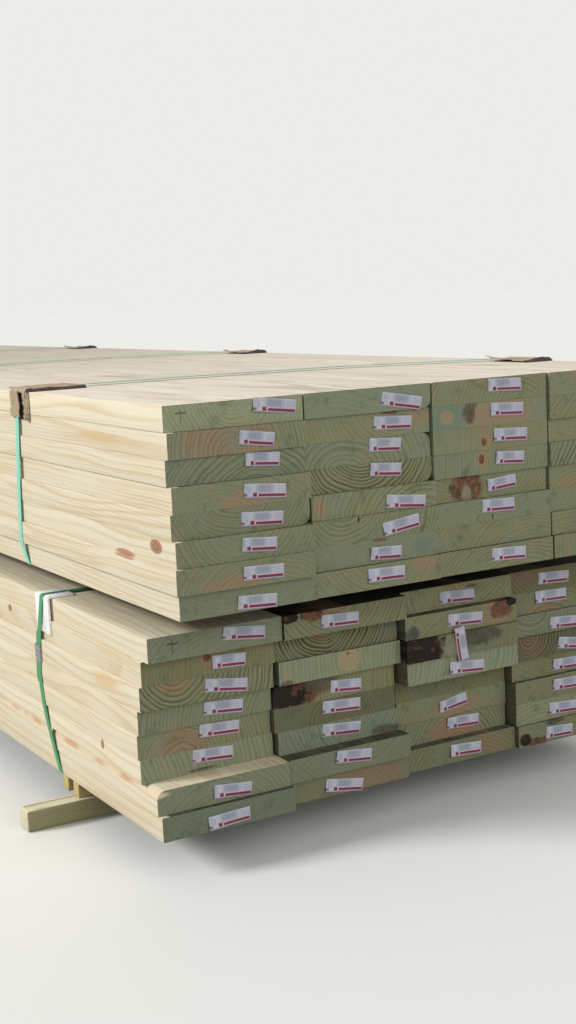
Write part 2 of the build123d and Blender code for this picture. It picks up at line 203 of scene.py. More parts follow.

# Painted shade: the near ends grow darker down the upper bundle, and from left to right in the lower one
FIRST_LIGHTNESS = {"upper": 1.08, "lower": 1.0}
LAYER_DARKENING = {"upper": 0.016, "lower": 0.0}
COLUMN_DARKENING = {"upper": 0.0, "lower": 0.04}
# How deep the painted shade is on the faces that lie inside a bundle, and on those at the spacers
SHADES = {"upper": 0.0, "lower": 0.5}
DEEP_SHADE = 0.85
# Boards whose near ends are lighter or darker than their neighbours, partly by their own tone and
# partly by painted shade, such as the bottom boards, and how far the others vary
TONES = {
    ("upper", 1, 1): 1.33,
    ("upper", 5, 2): 1.06,
    ("lower", 2, 1): 0.86,
    ("lower", 6, 1): 1.14,
    ("lower", 8, 1): 0.78,
    ("lower", 2, 2): 0.85,
    ("lower", 3, 2): 1.25,
    ("lower", 5, 2): 0.66,
    ("lower", 7, 2): 0.9,
    ("lower", 8, 2): 0.84,
    ("lower", 1, 3): 1.18,
    ("lower", 3, 3): 0.88,
    ("lower", 4, 3): 1.28,
    ("lower", 5, 3): 0.8,
    ("lower", 8, 3): 0.86,
    ("lower", 1, 4): 0.78,
    ("lower", 3, 4): 1.08,
    ("lower", 4, 4): 0.72,
    ("lower", 7, 4): 1.25,
}
OTHER_TONES = (0.98, 1.02)
# How far along its log a board's pattern may start, in metres
LOG_STARTS = (5, 60)

# Tags on the near ends, in the order of the grain: middle across and up in millimetres, tilt in degrees
# and length in millimetres
UPPER_TAGS = (
    ((187, 26, -7, 76), (179, 15, -10, 76), (147, 26, -2, 68), None),
    ((148, 20, -8, 60), (164, 21, -3, 72), (151, 25, -3, 68), None),
    ((162, 27, -5, 60), (148, 27, -4, 60), (157, 22, -3, 70), None),
    ((155, 20, -5, 72), (146, 27, -5, 60), (155, 23, -4, 60), None),
    ((152, 18, -4, 72), (176, 13, -6, 76), (140, 21, 4, 60), None),
    ((139, 21, -5, 60), (164, 17, 7, 70), (124, 26, -2, 67), None),
    ((145, 19, -3, 70), (133, 15, -4, 60), None, None),
    ((130, 13, -4, 68), (129, 22, -2, 70), (140, 22, -3, 70), None),
)
LOWER_TAGS = (
    ((167, 24, -7, 76), (105, 19, -3, 72), (118, 17, -3, 72), (98, 20, -3, 69)),
    ((152, 18, -4, 60), None, (124, 20, -4, 72), (91, 27, -2, 72)),
    ((150, 19, -8, 76), None, (112, 19, -82, 60), (118, 15, -4, 70)),
    ((149, 21, -5, 70), (139, 17, -5, 60), (124, 15, -5, 74), (133, 14, -9, 74)),
    ((143, 25, -4, 72), (129, 24, -4, 74), None, (131, 15, -3, 76)),
    ((126, 25, -4, 72), (121, 24, -5, 74), (120, 22, 8, 60), (122, 21, -3, 76)),
    ((131, 16, -6, 68), (122, 24, -7, 70), (142, 24, -3, 70), (111, 17, -4, 73)),
    ((115, 15, 2, 74), (106, 14, -10, 74), (126, 20, -4, 67), (92, 16, -3, 60)),
)
TAGS = {"upper": UPPER_TAGS, "lower": LOWER_TAGS}

# Blocks printed on a tag: left, right, low and high edge as shares of the tag, how soft these are, how
# strong the ink is, how much more of it the stripes add, and the ink
PRINT = (
    (0.22, 0.36, 0.4, 0.85, 0.06, 0.35, 0, "green"),
    (0.04, 0.16, 0.3, 0.85, 0.03, 0, 0.5, "grey"),
    (0.3, 0.7, 0.45, 0.88, 0.05, 0.35, 0, "grey"),
    (0.36, 0.62, 0.47, 0.84, 0.05, 0.42, 0.22, "grey"),
    (0.78, 0.96, 0.46, 0.49, 0.02, 0.4, 0, "grey"),
    (0.78, 0.96, 0.62, 0.65, 0.02, 0.4, 0, "grey"),
    (0.78, 0.96, 0.8, 0.83, 0.02, 0.4, 0, "grey"),
    (0.34, 0.98, 0.08, 0.32, 0.03, 0.3, 0, "halo"),
    (0.21, 0.32, 0.08, 0.38, 0.03, 0.3, 0, "halo"),
    (0.355, 0.97, 0.12, 0.27, 0.012, 0.95, 0, "bar"),
    (0.225, 0.305, 0.11, 0.34, 0.012, 0.95, 0, "bar"),
    (-0.1, 0.075, 0.13, 0.27, 0.012, 0.76, 0, "bar"),
)


def colour(red, green, blue):
    """A linear colour from the usual 0 to 255 values."""
    linear = []
    for value in (red, green, blue):
        share = value / 255
        linear.append(share / 12.92 if share <= 0.04045 else ((share + 0.055) / 1.055) ** 2.4)
    return tuple(linear)


def length(name, description, default):
    """A size property in metres."""
    return FloatProperty(name=name, description=description, default=default, unit="LENGTH", precision=4)


def paint(name, description, *levels):
    """A colour property, its default from 0 to 255."""
    return FloatVectorProperty(name=name, description=description, default=colour(*levels), subtype="COLOR")


def number(name, description, default):
    """A plain number."""
    return FloatProperty(name=name, description=description, default=default)


def angle(name, description, degrees):
    """An angle, its default in degrees."""
    return FloatProperty(name=name, description=description, default=math.radians(degrees), unit="ROTATION")


def direction(name, description, default):
    """Where something comes from, seen from the middle."""
    return FloatVectorProperty(name=name, description=description, default=default, subtype="DIRECTION")


# Sizes and colours that a user would change


class BoardSettings(PropertyGroup):
    """Sizes and colours of the treated boards."""

    eased_edge: length("Eased edge", "Radius along a board's long edges", 0.9 * MM)
    line_spacing: length("Line spacing", "Distance between the fine grain lines on the faces", 6 * MM)
    least_shrink: length("Least shrink", "Least that a board is thinner than its place", 0.1 * MM)
    most_shrink: length("Most shrink", "Most that a board is thinner than its place", 0.35 * MM)
    cup: length("Cup", "Most that a board's middle rises over its edges", 0.15 * MM)
    bow: length("Bow", "Most that a board's middle leaves its line", 1 * MM)
    saw_depth: length("Saw depth", "How deep the saw roughened the ends", 0.9 * MM)
    # The sawn-end colours hold the treated end grain's own sage and painted shade, so they are darker than
    # the faces
    end_blue: paint("End, bluish", "Pale part of a ring on the bluest sawn ends", 124, 132, 111)
    end_olive: paint("End, olive", "Pale part of a ring on the most olive sawn ends", 134, 132, 95)
    late_blue: paint("Ring, bluish", "Dark part of a ring on the bluest sawn ends", 74, 84, 62)
    late_olive: paint("Ring, olive", "Dark part of a ring on the most olive sawn ends", 84, 81, 50)
    late_deep: paint("Ring, deep", "Dark part of a ring on the ends that show it most", 52, 50, 30)
    end_tan: paint("End, tan", "Tan clouds on the sawn ends", 144, 130, 92)
    heart: paint("Heart", "Pale part of a ring in the orange heartwood", 148, 124, 98)
    heart_late: paint("Heart ring", "Dark part of a ring in the orange heartwood", 114, 86, 66)
    face_early: paint("Face, early wood", "Pale wood on the faces and edges", 227, 218, 194)
    face_late: paint("Face, late wood", "Grain lines on the faces and edges", 202, 178, 138)
    face_flush: paint("Face, flush", "Tan patches on the faces", 220, 202, 170)
    face_streak: paint("Face, streak", "Long tan streaks on the faces", 214, 191, 155)
    face_weathered: paint("Face, weathered", "Pinkish grey of the top faces", 240, 229, 216)
    face_grey: paint("Face, grey", "Top faces towards the far end", 194, 186, 172)
    late_grey: paint("Face, grey lines", "Grain lines and grime on the top faces", 172, 158, 142)
    # Covered faces: partly the wood's own unweathered green, partly painted shade between the boards
    sheltered: paint("Face, sheltered", "Faces that another board covers", 138, 138, 112)
    mould: paint("Mould", "Dark mould on covered top faces", 66, 68, 62)
    knot: paint("Knot", "Knots on the faces", 168, 110, 78)
    knot_rim: paint("Knot rim", "Dark rings in the knots on the faces", 112, 66, 44)
    knot_pale: paint("Knot, pale", "Tan knots on the ends", 148, 136, 104)
    # Bark's colour is also the painted shade deep inside the bundles and at the spacers
    bark: paint("Bark", "Bark and dark pockets", 26, 19, 16)
    pocket: paint("Rusty pocket", "Rust-brown bark pockets", 88, 54, 42)
    pocket_pale: paint("Pale rust", "Paler rust in the bark pockets", 128, 80, 54)
    mauve: paint("Rot", "Mauve-grey rot beside the bark", 80, 66, 62)
    scar: paint("Scar", "Pale torn wood inside a pocket", 150, 146, 126)
    resin: paint("Resin", "Tan resin patches on the faces", 214, 182, 136)
    spot: paint("Spot", "Orange spots along a waned edge", 206, 152, 114)
    smear: paint("Smear", "Bluish grey smears on the ends", 104, 122, 108)
    crayon: paint("Crayon", "Tally marks", 46, 44, 46)


class TagSettings(PropertyGroup):
    """Sizes and colours of the end tags."""

    height: length("Height", "Height of a tag", 21.5 * MM)
    thickness: length("Thickness", "Thickness of a tag's film", 0.3 * MM)
    stand_off: length("Stand-off", "From the board's end to a tag's middle", 0.5 * MM)
    curl: length("Curl", "How far a tag's free corner lifts from the board", 2.2 * MM)
    ripple: length("Ripple", "Height of the waves in a tag", 0.25 * MM)
    film: paint("Film", "Ground colour of the tags", 192, 191, 204)
    film_dull: paint("Dull film", "Duller clouds in the film", 172, 174, 186)
    green: paint("Green", "Pale green block", 168, 188, 178)
    grey: paint("Grey", "Soft grey blocks and lines", 126, 132, 148)
    halo: paint("Halo", "Pink where the bar's ink spreads", 200, 140, 160)
    bar: paint("Bar", "Dark red bar", 112, 4, 46)


class StrapSettings(PropertyGroup):
    """Sizes and colours of the straps, clips and protectors."""

    upper: paint("Upper straps", "Colour of the upper bundle's straps", 134, 222, 196)
    lower: paint("Lower straps", "Colour of the lower bundle's straps", 20, 146, 74)
    # Darker upper sides and edges of the straps: dust on the upper sides, painted shade on the edges
    dust_and_shade: paint("Dusty strap", "Upper sides and edges of the straps", 80, 112, 98)
    emboss: length("Emboss", "Width of one diamond pressed into a strap", 2.2 * MM)
    steel: paint("Clip", "Colour of the crimped clips", 150, 152, 156)
    steel_dark: paint("Dark spangle", "Dark grains of the clips' zinc", 96, 98, 102)
    crimp: length("Crimp", "Depth of the crimps in the clips", 1.1 * MM)
    clip_share: number("Clip share", "Closed clip against its solid's sides", 0.75)
    board: paint("Brown board", "Colour of the upper protectors", 178, 158, 130)
    damp: paint("Damp board", "Darker patches of the upper protectors", 112, 92, 70)
    crease: paint("Crease", "Pale creases of the upper protectors", 206, 188, 158)
    fibre: paint("Fibre", "Fibres of the upper protectors", 120, 98, 74)
    # Painted shade for the protectors' near lip, torn side and inner sheet
    soaked: paint("Soaked board", "Dark folds of the upper protectors", 58, 46, 46)
    card: length("Card", "Thickness of the brown board", 1.4 * MM)
    crumple: length("Crumple", "How far the brown board is crushed out of true", 2.6 * MM)
    bend: length("Bend", "Radius of the folds over the corners", 6 * MM)
    plastic: paint("White plastic", "Colour of the lower protectors", 250, 250, 252)
    plastic_dust: paint("Dust", "Dust on the lower protectors", 176, 166, 146)
    plastic_scuff: paint("Scuffs", "Scuffs on the lower protectors", 150, 150, 148)
    channel: length("Channel", "Width between the ribs of the plastic protectors", 18 * MM)
    rib: length("Rib", "Height of those ribs", 1.6 * MM)
    plastic_edge: length("Plastic edge", "Width of those protectors' softened edges", 0.6 * MM)


class SupportSettings(PropertyGroup):
    """Sizes and colours of the spacers, sticks and timbers."""

    eased_edge: length("Eased edge", "Radius along the timbers' edges", 4 * MM)
    stick_edge: length("Stick edge", "Radius along the edges of the sticks and the spacers", 1.5 * MM)
    groove_back: length("Groove back", "From a front timber's back to the middle of its groove", 12 * MM)
    groove_width: length("Groove width", "Width of the groove in the front timbers", 3 * MM)
    groove_depth: length("Groove depth", "Depth of the groove in the front timbers", 4 * MM)
    # The spacers' colour is darkened to paint the shade between the bundles
    spacer: paint("Spacer", "Colour of the spacers between the bundles", 112, 100, 78)
    stick: paint("Stick", "Colour of the sticks under the lower bundle", 196, 180, 118)
    # The sticks' and timbers' front colours are painted shade on their front sides
    stick_shaded_front: paint("Stick, front", "Front sides of the sticks", 170, 146, 98)
    timber: paint("Timber", "Colour of the timbers on the ground", 224, 218, 188)
    timber_shaded_front: paint("Timber, front", "Front sides of the timbers", 148, 144, 106)
    dark: paint("Grain", "Dark grain of the supports", 122, 112, 80)


class StageSettings(PropertyGroup):
    """Floor, light and camera."""

    floor: paint("Floor", "Colour of the floor and the background", 236, 236, 233)
    floor_size: length("Floor size", "Side of the square floor", 160.0)
    ambient: number("Ambient", "Even light from all round", 0.55)
    key: number("Key", "Soft light from the left", 2.4)
    key_from: direction("Key from", "Where that light comes from", (-0.82, 0.24, 0.52))
    key_softness: angle("Key softness", "How wide that light is", 16)
    fill: number("Fill", "Soft light from the front", 1.76)
    fill_from: direction("Fill from", "Where that light comes from", (0.15, -0.97, 0.16))
    fill_softness: angle("Fill softness", "How wide that light is", 70)
    eye: FloatVectorProperty(
        name="Camera", description="Place of the camera", default=(-1.3991, -4.1170, 0.8950), unit="LENGTH"
    )
    azimuth: angle("Azimuth", "Turn of the view to the right", 29.68)
    dip: angle("Dip", "How far the view looks down", 8.555)
    roll: angle("Roll", "Lean of the camera to its right", 2.68)
    lens: number("Lens", "Focal length in millimetres", 52.03)


# Places and meshes


def solids_of(node):
    """Lowest and highest corner of each solid in a CAD node, from left to right and then from the front."""
    shape = bmesh.new()
    shape.from_mesh(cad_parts[node].data)
    bmesh.ops.remove_doubles(shape, verts=shape.verts, dist=0.01 * MM)
    unseen = set(shape.verts)
    boxes = []
    while unseen:
        edge = [unseen.pop()]
        solid = list(edge)
        while edge:
            vertex = edge.pop()
            for joined in vertex.link_edges:
                other = joined.other_vert(vertex)
                if other in unseen:
                    unseen.discard(other)
                    edge.append(other)
                    solid.append(other)
        corners = np.array([vertex.co for vertex in solid])
        boxes.append((Vector(corners.min(0)), Vector(corners.max(0))))
    shape.free()
    return sorted(boxes, key=lambda box: (round(box[0].x, 2), box[0].y))


def points_of(mesh):
    """The mesh's points as an array."""
    points = np.zeros(len(mesh.vertices) * 3)
    mesh.vertices.foreach_get("co", points)
    return points.reshape(-1, 3)


def move_points(mesh, points):
    """Puts the mesh's points at new places."""
    mesh.vertices.foreach_set("co", points.ravel())
    mesh.update()


def write_vectors(mesh, name, values):
    """Stores a vector for each point, for the material to read."""
    layer = mesh.attributes.new(name, "FLOAT_VECTOR", "POINT")
    layer.data.foreach_set("vector", np.asarray(values, np.float32).ravel())


def ramp(value, start, end):
    """0 before the start, then evenly up to 1 at the end and on beyond it."""
    return max(0.0, (value - start) / (end - start))


def deselect():
    """Nothing stays selected before a new piece is made."""
    bpy.ops.object.select_all(action="DESELECT")


def take(piece):
    """Makes the piece the only selected and the active object."""
    deselect()
    piece.select_set(True)
    bpy.context.view_layer.objects.active = piece


def open_mesh(piece):
    """Opens a piece for shaping."""
    take(piece)
    bpy.ops.object.mode_set(mode="EDIT")


def close_mesh():
    """Ends the shaping."""
    bpy.ops.object.mode_set(mode="OBJECT")


def add_box(name, low, high):
    """A box between two corners, open for shaping."""
    deselect()
    bpy.ops.mesh.primitive_cube_add(size=1, location=(low + high) / 2, scale=high - low)
    box = bpy.context.active_object
    box.name = name
    bpy.ops.object.transform_apply(location=True, rotation=True, scale=True)
    open_mesh(box)
    return box


def pick(kind, test):
    """Selects the edges, faces or verts of the open mesh that pass a test."""
    bpy.ops.mesh.select_all(action="DESELECT")
    bpy.ops.mesh.select_mode(type={"edges": "EDGE", "faces": "FACE", "verts": "VERT"}[kind])
    shape = bmesh.from_edit_mesh(bpy.context.edit_object.data)
    for element in getattr(shape, kind):
        element.select_set(bool(test(element)))
    shape.select_flush_mode()
    bmesh.update_edit_mesh(bpy.context.edit_object.data)


def cut(axis, places):
    """Cuts the open mesh straight across at places along one axis."""
    for place in places:
        bpy.ops.mesh.select_all(action="SELECT")
        point = [0.0, 0.0, 0.0]
        point[axis] = place
        normal = [0.0, 0.0, 0.0]
        normal[axis] = 1.0
        bpy.ops.mesh.bisect(plane_co=point, plane_no=normal)


def cut_strips(low, high, strips):
    """Cuts the open mesh into even strips across the stack."""
    cut(0, [low + (high - low) * step / strips for step in range(1, strips)])


def round_edges(radius, segments):
    """Rounds the picked edges of the open mesh."""
    bpy.ops.mesh.bevel(offset=radius, segments=segments, affect="EDGES")


def pull(x, z):
    """Pulls the picked faces of the open mesh out, across the stack and up."""
    bpy.ops.mesh.extrude_region_move(TRANSFORM_OT_translate={"value": (x, 0, z)})


def apply_modifiers(piece):
    """Applies what the piece has, in order."""
    take(piece)
    for modifier in list(piece.modifiers):
        bpy.ops.object.modifier_apply(modifier=modifier.name)


def thicken(piece, thickness):
    """Gives a sheet its thickness, half on either side."""
    body = piece.modifiers.new("Body", "SOLIDIFY")
    body.thickness = thickness
    body.offset = 0
    apply_modifiers(piece)


def smooth(piece, degrees=SMOOTH_ANGLE):
    """Shades a piece smooth where its faces meet at less than an angle."""
    take(piece)
    bpy.ops.object.shade_smooth_by_angle(angle=math.radians(degrees))


def copy_of(piece, name):
    """A copy with its own mesh."""
    twin = piece.copy()
    twin.data = piece.data.copy()
    twin.name = twin.data.name = name
    bpy.context.scene.collection.objects.link(twin)
    return twin


def join(pieces, name):
    """One piece from several."""
    take(pieces[0])
    for piece in pieces:
        piece.select_set(True)
    bpy.ops.object.join()
    joined = bpy.context.active_object
    joined.name = joined.data.name = name
    return joined


def discard(piece):
    """Takes away a model that was only copied."""
    bpy.data.objects.remove(piece)


def finish_piece(piece, material, slot, *nodes):
    """Gives a piece its material and its body, and hides the CAD nodes that it stands for; the slot is not
    used.
    """
    piece.data.materials.clear()
    piece.data.materials.append(material)
    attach(piece, BODY)
    if nodes:
        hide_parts(*nodes)


# Materials


class Finish:
    """Builds one procedural material, node by node."""

    def __init__(self, name):
        self.material = bpy.data.materials.new(name)
        self.material.use_nodes = True
        self.tree = self.material.node_tree
        self.surface = self.tree.nodes["Principled BSDF"]

    def node(self, kind, **settings):
        """Adds a node with its settings."""
        made = self.tree.nodes.new(kind)
        for setting, value in settings.items():
            setattr(made, setting, value)
        return made

    def feed(self, socket, value):
        """Joins a socket to another, or sets it."""
        if isinstance(value, bpy.types.NodeSocket):
            self.tree.links.new(value, socket)
        elif hasattr(value, "__len__") and len(value) == 3 and socket.type == "RGBA":
            socket.default_value = (*value, 1.0)
        else:
            socket.default_value = value

    def math(self, operation, first, second=0.0, third=0.0, clamp=False):
        """A sum or other arithmetic on numbers."""
        made = self.node("ShaderNodeMath", operation=operation, use_clamp=clamp)
        for socket, value in zip(made.inputs, (first, second, third)):
            self.feed(socket, value)
        return made.outputs[0]

    def times(self, first, second, clamp=False):
        """The product of two numbers."""
        return self.math("MULTIPLY", first, second, clamp=clamp)

    def scaled(self, value, factor, start, clamp=False):
        """A number times a factor, added to a start."""
        return self.math("MULTIPLY_ADD", value, factor, start, clamp=clamp)

    def vector(self, operation, first, second=(0.0, 0.0, 0.0)):
        """Arithmetic on vectors."""
        made = self.node("ShaderNodeVectorMath", operation=operation)
        self.feed(made.inputs[0], first)
        self.feed(made.inputs[1], second)
        return made.outputs["Value"] if operation == "LENGTH" else made.outputs["Vector"]

    def stretched(self, place, *factors):
        """A place scaled along each axis."""
        return self.vector("MULTIPLY", place, factors)

    def split(self, vector):
        """The three numbers of a vector."""
        made = self.node("ShaderNodeSeparateXYZ")
        self.feed(made.inputs[0], vector)
        return made.outputs

    def joined(self, first, second, third=0.0):
        """A vector of three numbers."""
        made = self.node("ShaderNodeCombineXYZ")
        for socket, value in zip(made.inputs, (first, second, third)):
            self.feed(socket, value)
        return made.outputs[0]

    def noise(self, place, scale, detail=2.0, roughness=0.5, output="Fac"):
        """Noise from 0 to 1."""
        made = self.node("ShaderNodeTexNoise")
        self.feed(made.inputs["Vector"], place)
        made.inputs["Scale"].default_value = scale
        made.inputs["Detail"].default_value = detail
        made.inputs["Roughness"].default_value = roughness
        return made.outputs[output]

    def cells(self, place, scale, output="Distance", feature="F1"):
        """Cells of random shape."""
        made = self.node("ShaderNodeTexVoronoi", feature=feature)
        self.feed(made.inputs["Vector"], place)
        made.inputs["Scale"].default_value = scale
        return made.outputs[output]

    def rise(self, value, low, high):
        """A smooth step from 0 at low to 1 at high, whichever of these is larger."""
        made = self.node("ShaderNodeMapRange", interpolation_type="SMOOTHSTEP")
        self.feed(made.inputs["Value"], value)
        self.feed(made.inputs["From Min"], low)
        self.feed(made.inputs["From Max"], high)
        return made.outputs["Result"]

    def fall(self, value, low, high):
        """A smooth step from 1 at low to 0 at high."""
        return self.rise(value, high, low)

    def within(self, value, low, high, soft):
        """1 between two values, with soft sides."""
        return self.times(self.rise(value, low - soft, low), self.fall(value, high, high + soft))

    def tooth(self, value, low, high, top, end):
        """A slow rise from low to high and a sharp fall from top to end."""
        return self.times(self.rise(value, low, high), self.fall(value, top, end))

    def blend(self, share, first, second):
        """A mix of two colours."""
        made = self.node("ShaderNodeMix", data_type="RGBA")
        self.feed(made.inputs["Factor"], share)
        self.feed(made.inputs[6], first)
        self.feed(made.inputs[7], second)
        return made.outputs[2]

    def over(self, base, *layers):
        """A base with layers over it, each given by what spreads it, its most and its colour."""
        for share, most, tint in layers:
            base = self.blend(self.times(share, most), base, tint)
        return base

    def read(self, name):
        """A vector stored on the mesh."""
        return self.node("ShaderNodeAttribute", attribute_name=name).outputs["Vector"]

    def place(self):
        """Where the point is on the object, in metres."""
        return self.node("ShaderNodeTexCoord").outputs["Object"]

    def normal(self):
        """The way that the surface faces, as three numbers."""
        return self.split(self.node("ShaderNodeNewGeometry").outputs["Normal"])

    def relief(self, height, depth, strength):
        """Roughens the surface by a height from 0 to 1, depth metres deep."""
        made = self.node("ShaderNodeBump")
        made.inputs["Strength"].default_value = strength
        made.inputs["Distance"].default_value = depth
        self.feed(made.inputs["Height"], height)
        self.feed(self.surface.inputs["Normal"], made.outputs["Normal"])

    def done(self, base, roughness, **fixed):
        """Colour and roughness of the surface, and what is the same all over it."""
        self.feed(self.surface.inputs["Base Color"], base)
        self.feed(self.surface.inputs["Roughness"], roughness)
        for name, value in fixed.items():
            self.surface.inputs[name.replace("_", " ")].default_value = value
        return self.material


# Noise in the board wood: how far it is drawn out along the log, its scale, its detail and its roughness
WOOD_NOISE = {
    "wander": (0.3, 7, 1, 0.5),
    "wave": (0.06, 34, 1, 0.5),
    "blotch": (0.3, 16, 3, 0.5),
    "pores": (1, 900, 2, 0.5),
    "cloud": (0.3, 38, 3, 0.6),
    "fibre": (0.02, 900, 2, 0.5),
    "band": (0.12, 26, 2, 0.5),
    "drift": (0.05, 9, 2, 0.5),
    "patchy": (0.1, 21, 2, 0.5),
    "streak": (0.07, 42, 2, 0.6),
    "flush": (0.25, 9, 2, 0.5),
    "dust": (0.12, 30, 4, 0.65),
    "grit": (0.3, 150, 3, 0.65),
    "rusty": (0.3, 52, 2, 0.6),
}
# Branches in the board wood: how close they grow, how far each bends the grain, and by how much
BRANCHES = 2.0
BRANCH_REACH = (6 * MM, 70 * MM)
BRANCH_SWELL = 12 * MM
# How far the pith wanders, how wavy and how uneven the rings are, and how wide the heartwood's edge is
PITH_WANDER = 36 * MM
RING_WAVE = 6 * MM
RING_UNEVENNESS = 1.4
HEART_EDGE = 4 * MM
# Where the top faces begin to grey along the stack and where they are greyest, in metres
GREYING = (-1.9, 0.6)


def treated_wood(settings):
    """Board wood: rings on the ends, the same rings as grain on the faces, and the mesh's marks."""
    wood = Finish("treated_wood")
    log = wood.read("log")
    across, along, up = wood.split(log)
    contrast, olive, lightness = wood.split(wood.read("look"))
    ring_width, heart_radius, shade = wood.split(wood.read("growth"))
    facing_x, facing_y, facing_z = wood.normal()
    spread = {}
    for name, (drawn, scale, detail, roughness) in WOOD_NOISE.items():
        spread[name] = wood.noise(wood.stretched(log, 1.0, drawn, 1.0), scale, detail, roughness)
    saw = wood.noise(wood.stretched(log, 1.0, 1.0, 0.12), 420)

    # Distance from the pith, which wanders along the board, with branches that bend the grain
    reach = wood.math("DIVIDE", wood.cells(wood.stretched(log, 1.0, 1.0, 0.25), BRANCHES), BRANCHES)
    swell = wood.times(wood.fall(reach, *BRANCH_REACH), BRANCH_SWELL)
    radius = wood.vector("LENGTH", wood.joined(across, 0.0, up))
    radius = wood.scaled(wood.math("SUBTRACT", spread["wander"], 0.5), PITH_WANDER, radius)
    radius = wood.scaled(spread["wave"], RING_WAVE, radius)
    radius = wood.math("ADD", radius, swell)

    # Growth rings of uneven width, each with a soft start and a sharp end
    uneven = wood.noise(wood.joined(radius, 0.0, wood.times(along, 0.02)), 60, 0)
    years = wood.scaled(uneven, RING_UNEVENNESS, wood.math("DIVIDE", radius, ring_width))
    year = wood.math("FRACT", years)
    strength = wood.noise(wood.joined(wood.math("FLOOR", years), along), 1.7, 0)
    late = wood.times(wood.tooth(year, 0.25, 0.85, 0.88, 1.0), wood.scaled(strength, 1.0, 0.45))
    heart = wood.fall(radius, heart_radius, wood.math("ADD", heart_radius, HEART_EDGE))

    # Colour of the ends, bluish on one board and olive on the next, darkened with painted shade
    early = wood.blend(olive, settings.end_blue, settings.end_olive)
    late_tint = wood.blend(olive, settings.late_blue, settings.late_olive)
    ring_share = wood.times(late, wood.times(contrast, 0.55), clamp=True)
    deep_share = wood.times(late, wood.math("SUBTRACT", contrast, 1.0, clamp=True), clamp=True)
    heart_wood = wood.blend(ring_share, settings.heart, settings.heart_late)
    end_wood = wood.over(
        wood.blend(ring_share, early, late_tint),
        (deep_share, 0.75, settings.late_deep),
        (heart, 0.8, heart_wood),
        (wood.rise(spread["blotch"], 0.45, 0.7), 0.55, settings.end_blue),
        (wood.rise(spread["cloud"], 0.52, 0.75), 0.4, settings.end_tan),
        (wood.fall(spread["cloud"], 0.25, 0.45), 0.45, late_tint),
        (wood.rise(saw, 0.35, 0.7), 0.12, late_tint),
    )

    # Grain of the faces: where the rings come out, and fine level lines between them
    line = wood.times(wood.tooth(year, 0.45, 0.9, 0.9, 1.0), wood.scaled(strength, 1.4, 0.3))
    grain = wood.times(line, wood.scaled(spread["band"], 2.2, -0.25), clamp=True)
    level = wood.scaled(across, 0.4, wood.math("ADD", up, swell))
    level = wood.scaled(spread["drift"], 0.05, wood.scaled(spread["wander"], 0.024, level))
    thin = wood.math("FRACT", wood.math("DIVIDE", level, settings.line_spacing))
    thin = wood.times(wood.tooth(thin, 0.3, 0.8, 0.84, 1.0), wood.rise(spread["patchy"], 0.36, 0.62))

    # Top faces weather to grey towards the far end, and gather grime
    topside = wood.rise(facing_z, 0.5, 0.9)
    distance = wood.rise(wood.split(wood.place())[1], *GREYING)
    aged = wood.blend(distance, settings.face_weathered, settings.face_grey)
    aged_top = wood.times(topside, wood.fall(shade, 0.1, 0.4))
    grime = wood.times(aged_top, wood.rise(spread["dust"], 0.5, 0.75))
    line_tint = wood.blend(aged_top, settings.face_late, settings.late_grey)
    face_wood = wood.over(
        settings.face_early,
        (wood.rise(spread["flush"], 0.5, 0.75), 0.45, settings.face_flush),
        (wood.rise(spread["streak"], 0.56, 0.7), 0.45, settings.face_streak),
        (aged_top, wood.scaled(distance, 0.2, 0.7), aged),
        (grain, 0.55, line_tint),
        (thin, 0.42, line_tint),
        (spread["fibre"], 0.2, line_tint),
        (grime, 0.45, settings.late_grey),
        (wood.fall(reach, 0.008, 0.011), 0.7, settings.knot),
        (wood.within(reach, 0.0085, 0.0105, 0.002), 0.45, settings.knot_rim),
    )

    # Faces that another board covers stay green and grey, partly painted shade, with mould on the tops,
    # and dark painted shade in the bark colour deep inside
    open_left, open_right, open_top = wood.split(wood.read("open"))
    seen_left = wood.times(wood.times(facing_x, -1.0), open_left)
    seen_side = wood.math("MAXIMUM", seen_left, wood.times(facing_x, open_right))
    seen = wood.math("MAXIMUM", seen_side, wood.times(facing_z, open_top))
    mouldy = wood.times(wood.rise(spread["cloud"], 0.4, 0.65), topside)
    sheltered = wood.over(
        settings.sheltered,
        (grain, 0.4, settings.late_olive),
        (mouldy, 0.6, settings.mould),
        (shade, 1.0, settings.bark),
    )
    face_wood = wood.blend(wood.fall(seen, 0.2, 0.6), face_wood, sheltered)

    # The sawn ends face along the board
    end = wood.rise(wood.math("ABSOLUTE", facing_y), 0.72, 0.85)
    tear_noise = wood.noise(wood.stretched(log, 1.0, 0.3, 1.0), 55, 3, output="Color")
    tear = wood.vector("SUBTRACT", tear_noise, (0.5, 0.5, 0.5))
    base = wood.blend(end, face_wood, end_wood)
    base = lay_marks(wood, settings, base, log, spread, tear, heart_wood)
    base = lay_crayon(wood, settings, base, wood.rise(spread["grit"], 0.3, 0.5))
    # Each board's lightness, painted shade and its own tone, works mostly on the ends
    tone = wood.node("ShaderNodeHueSaturation")
    wood.feed(tone.inputs["Color"], base)
    toned = wood.times(wood.math("SUBTRACT", lightness, 1.0), wood.scaled(end, 0.75, 0.25))
    wood.feed(tone.inputs["Value"], wood.math("ADD", toned, 1.0))

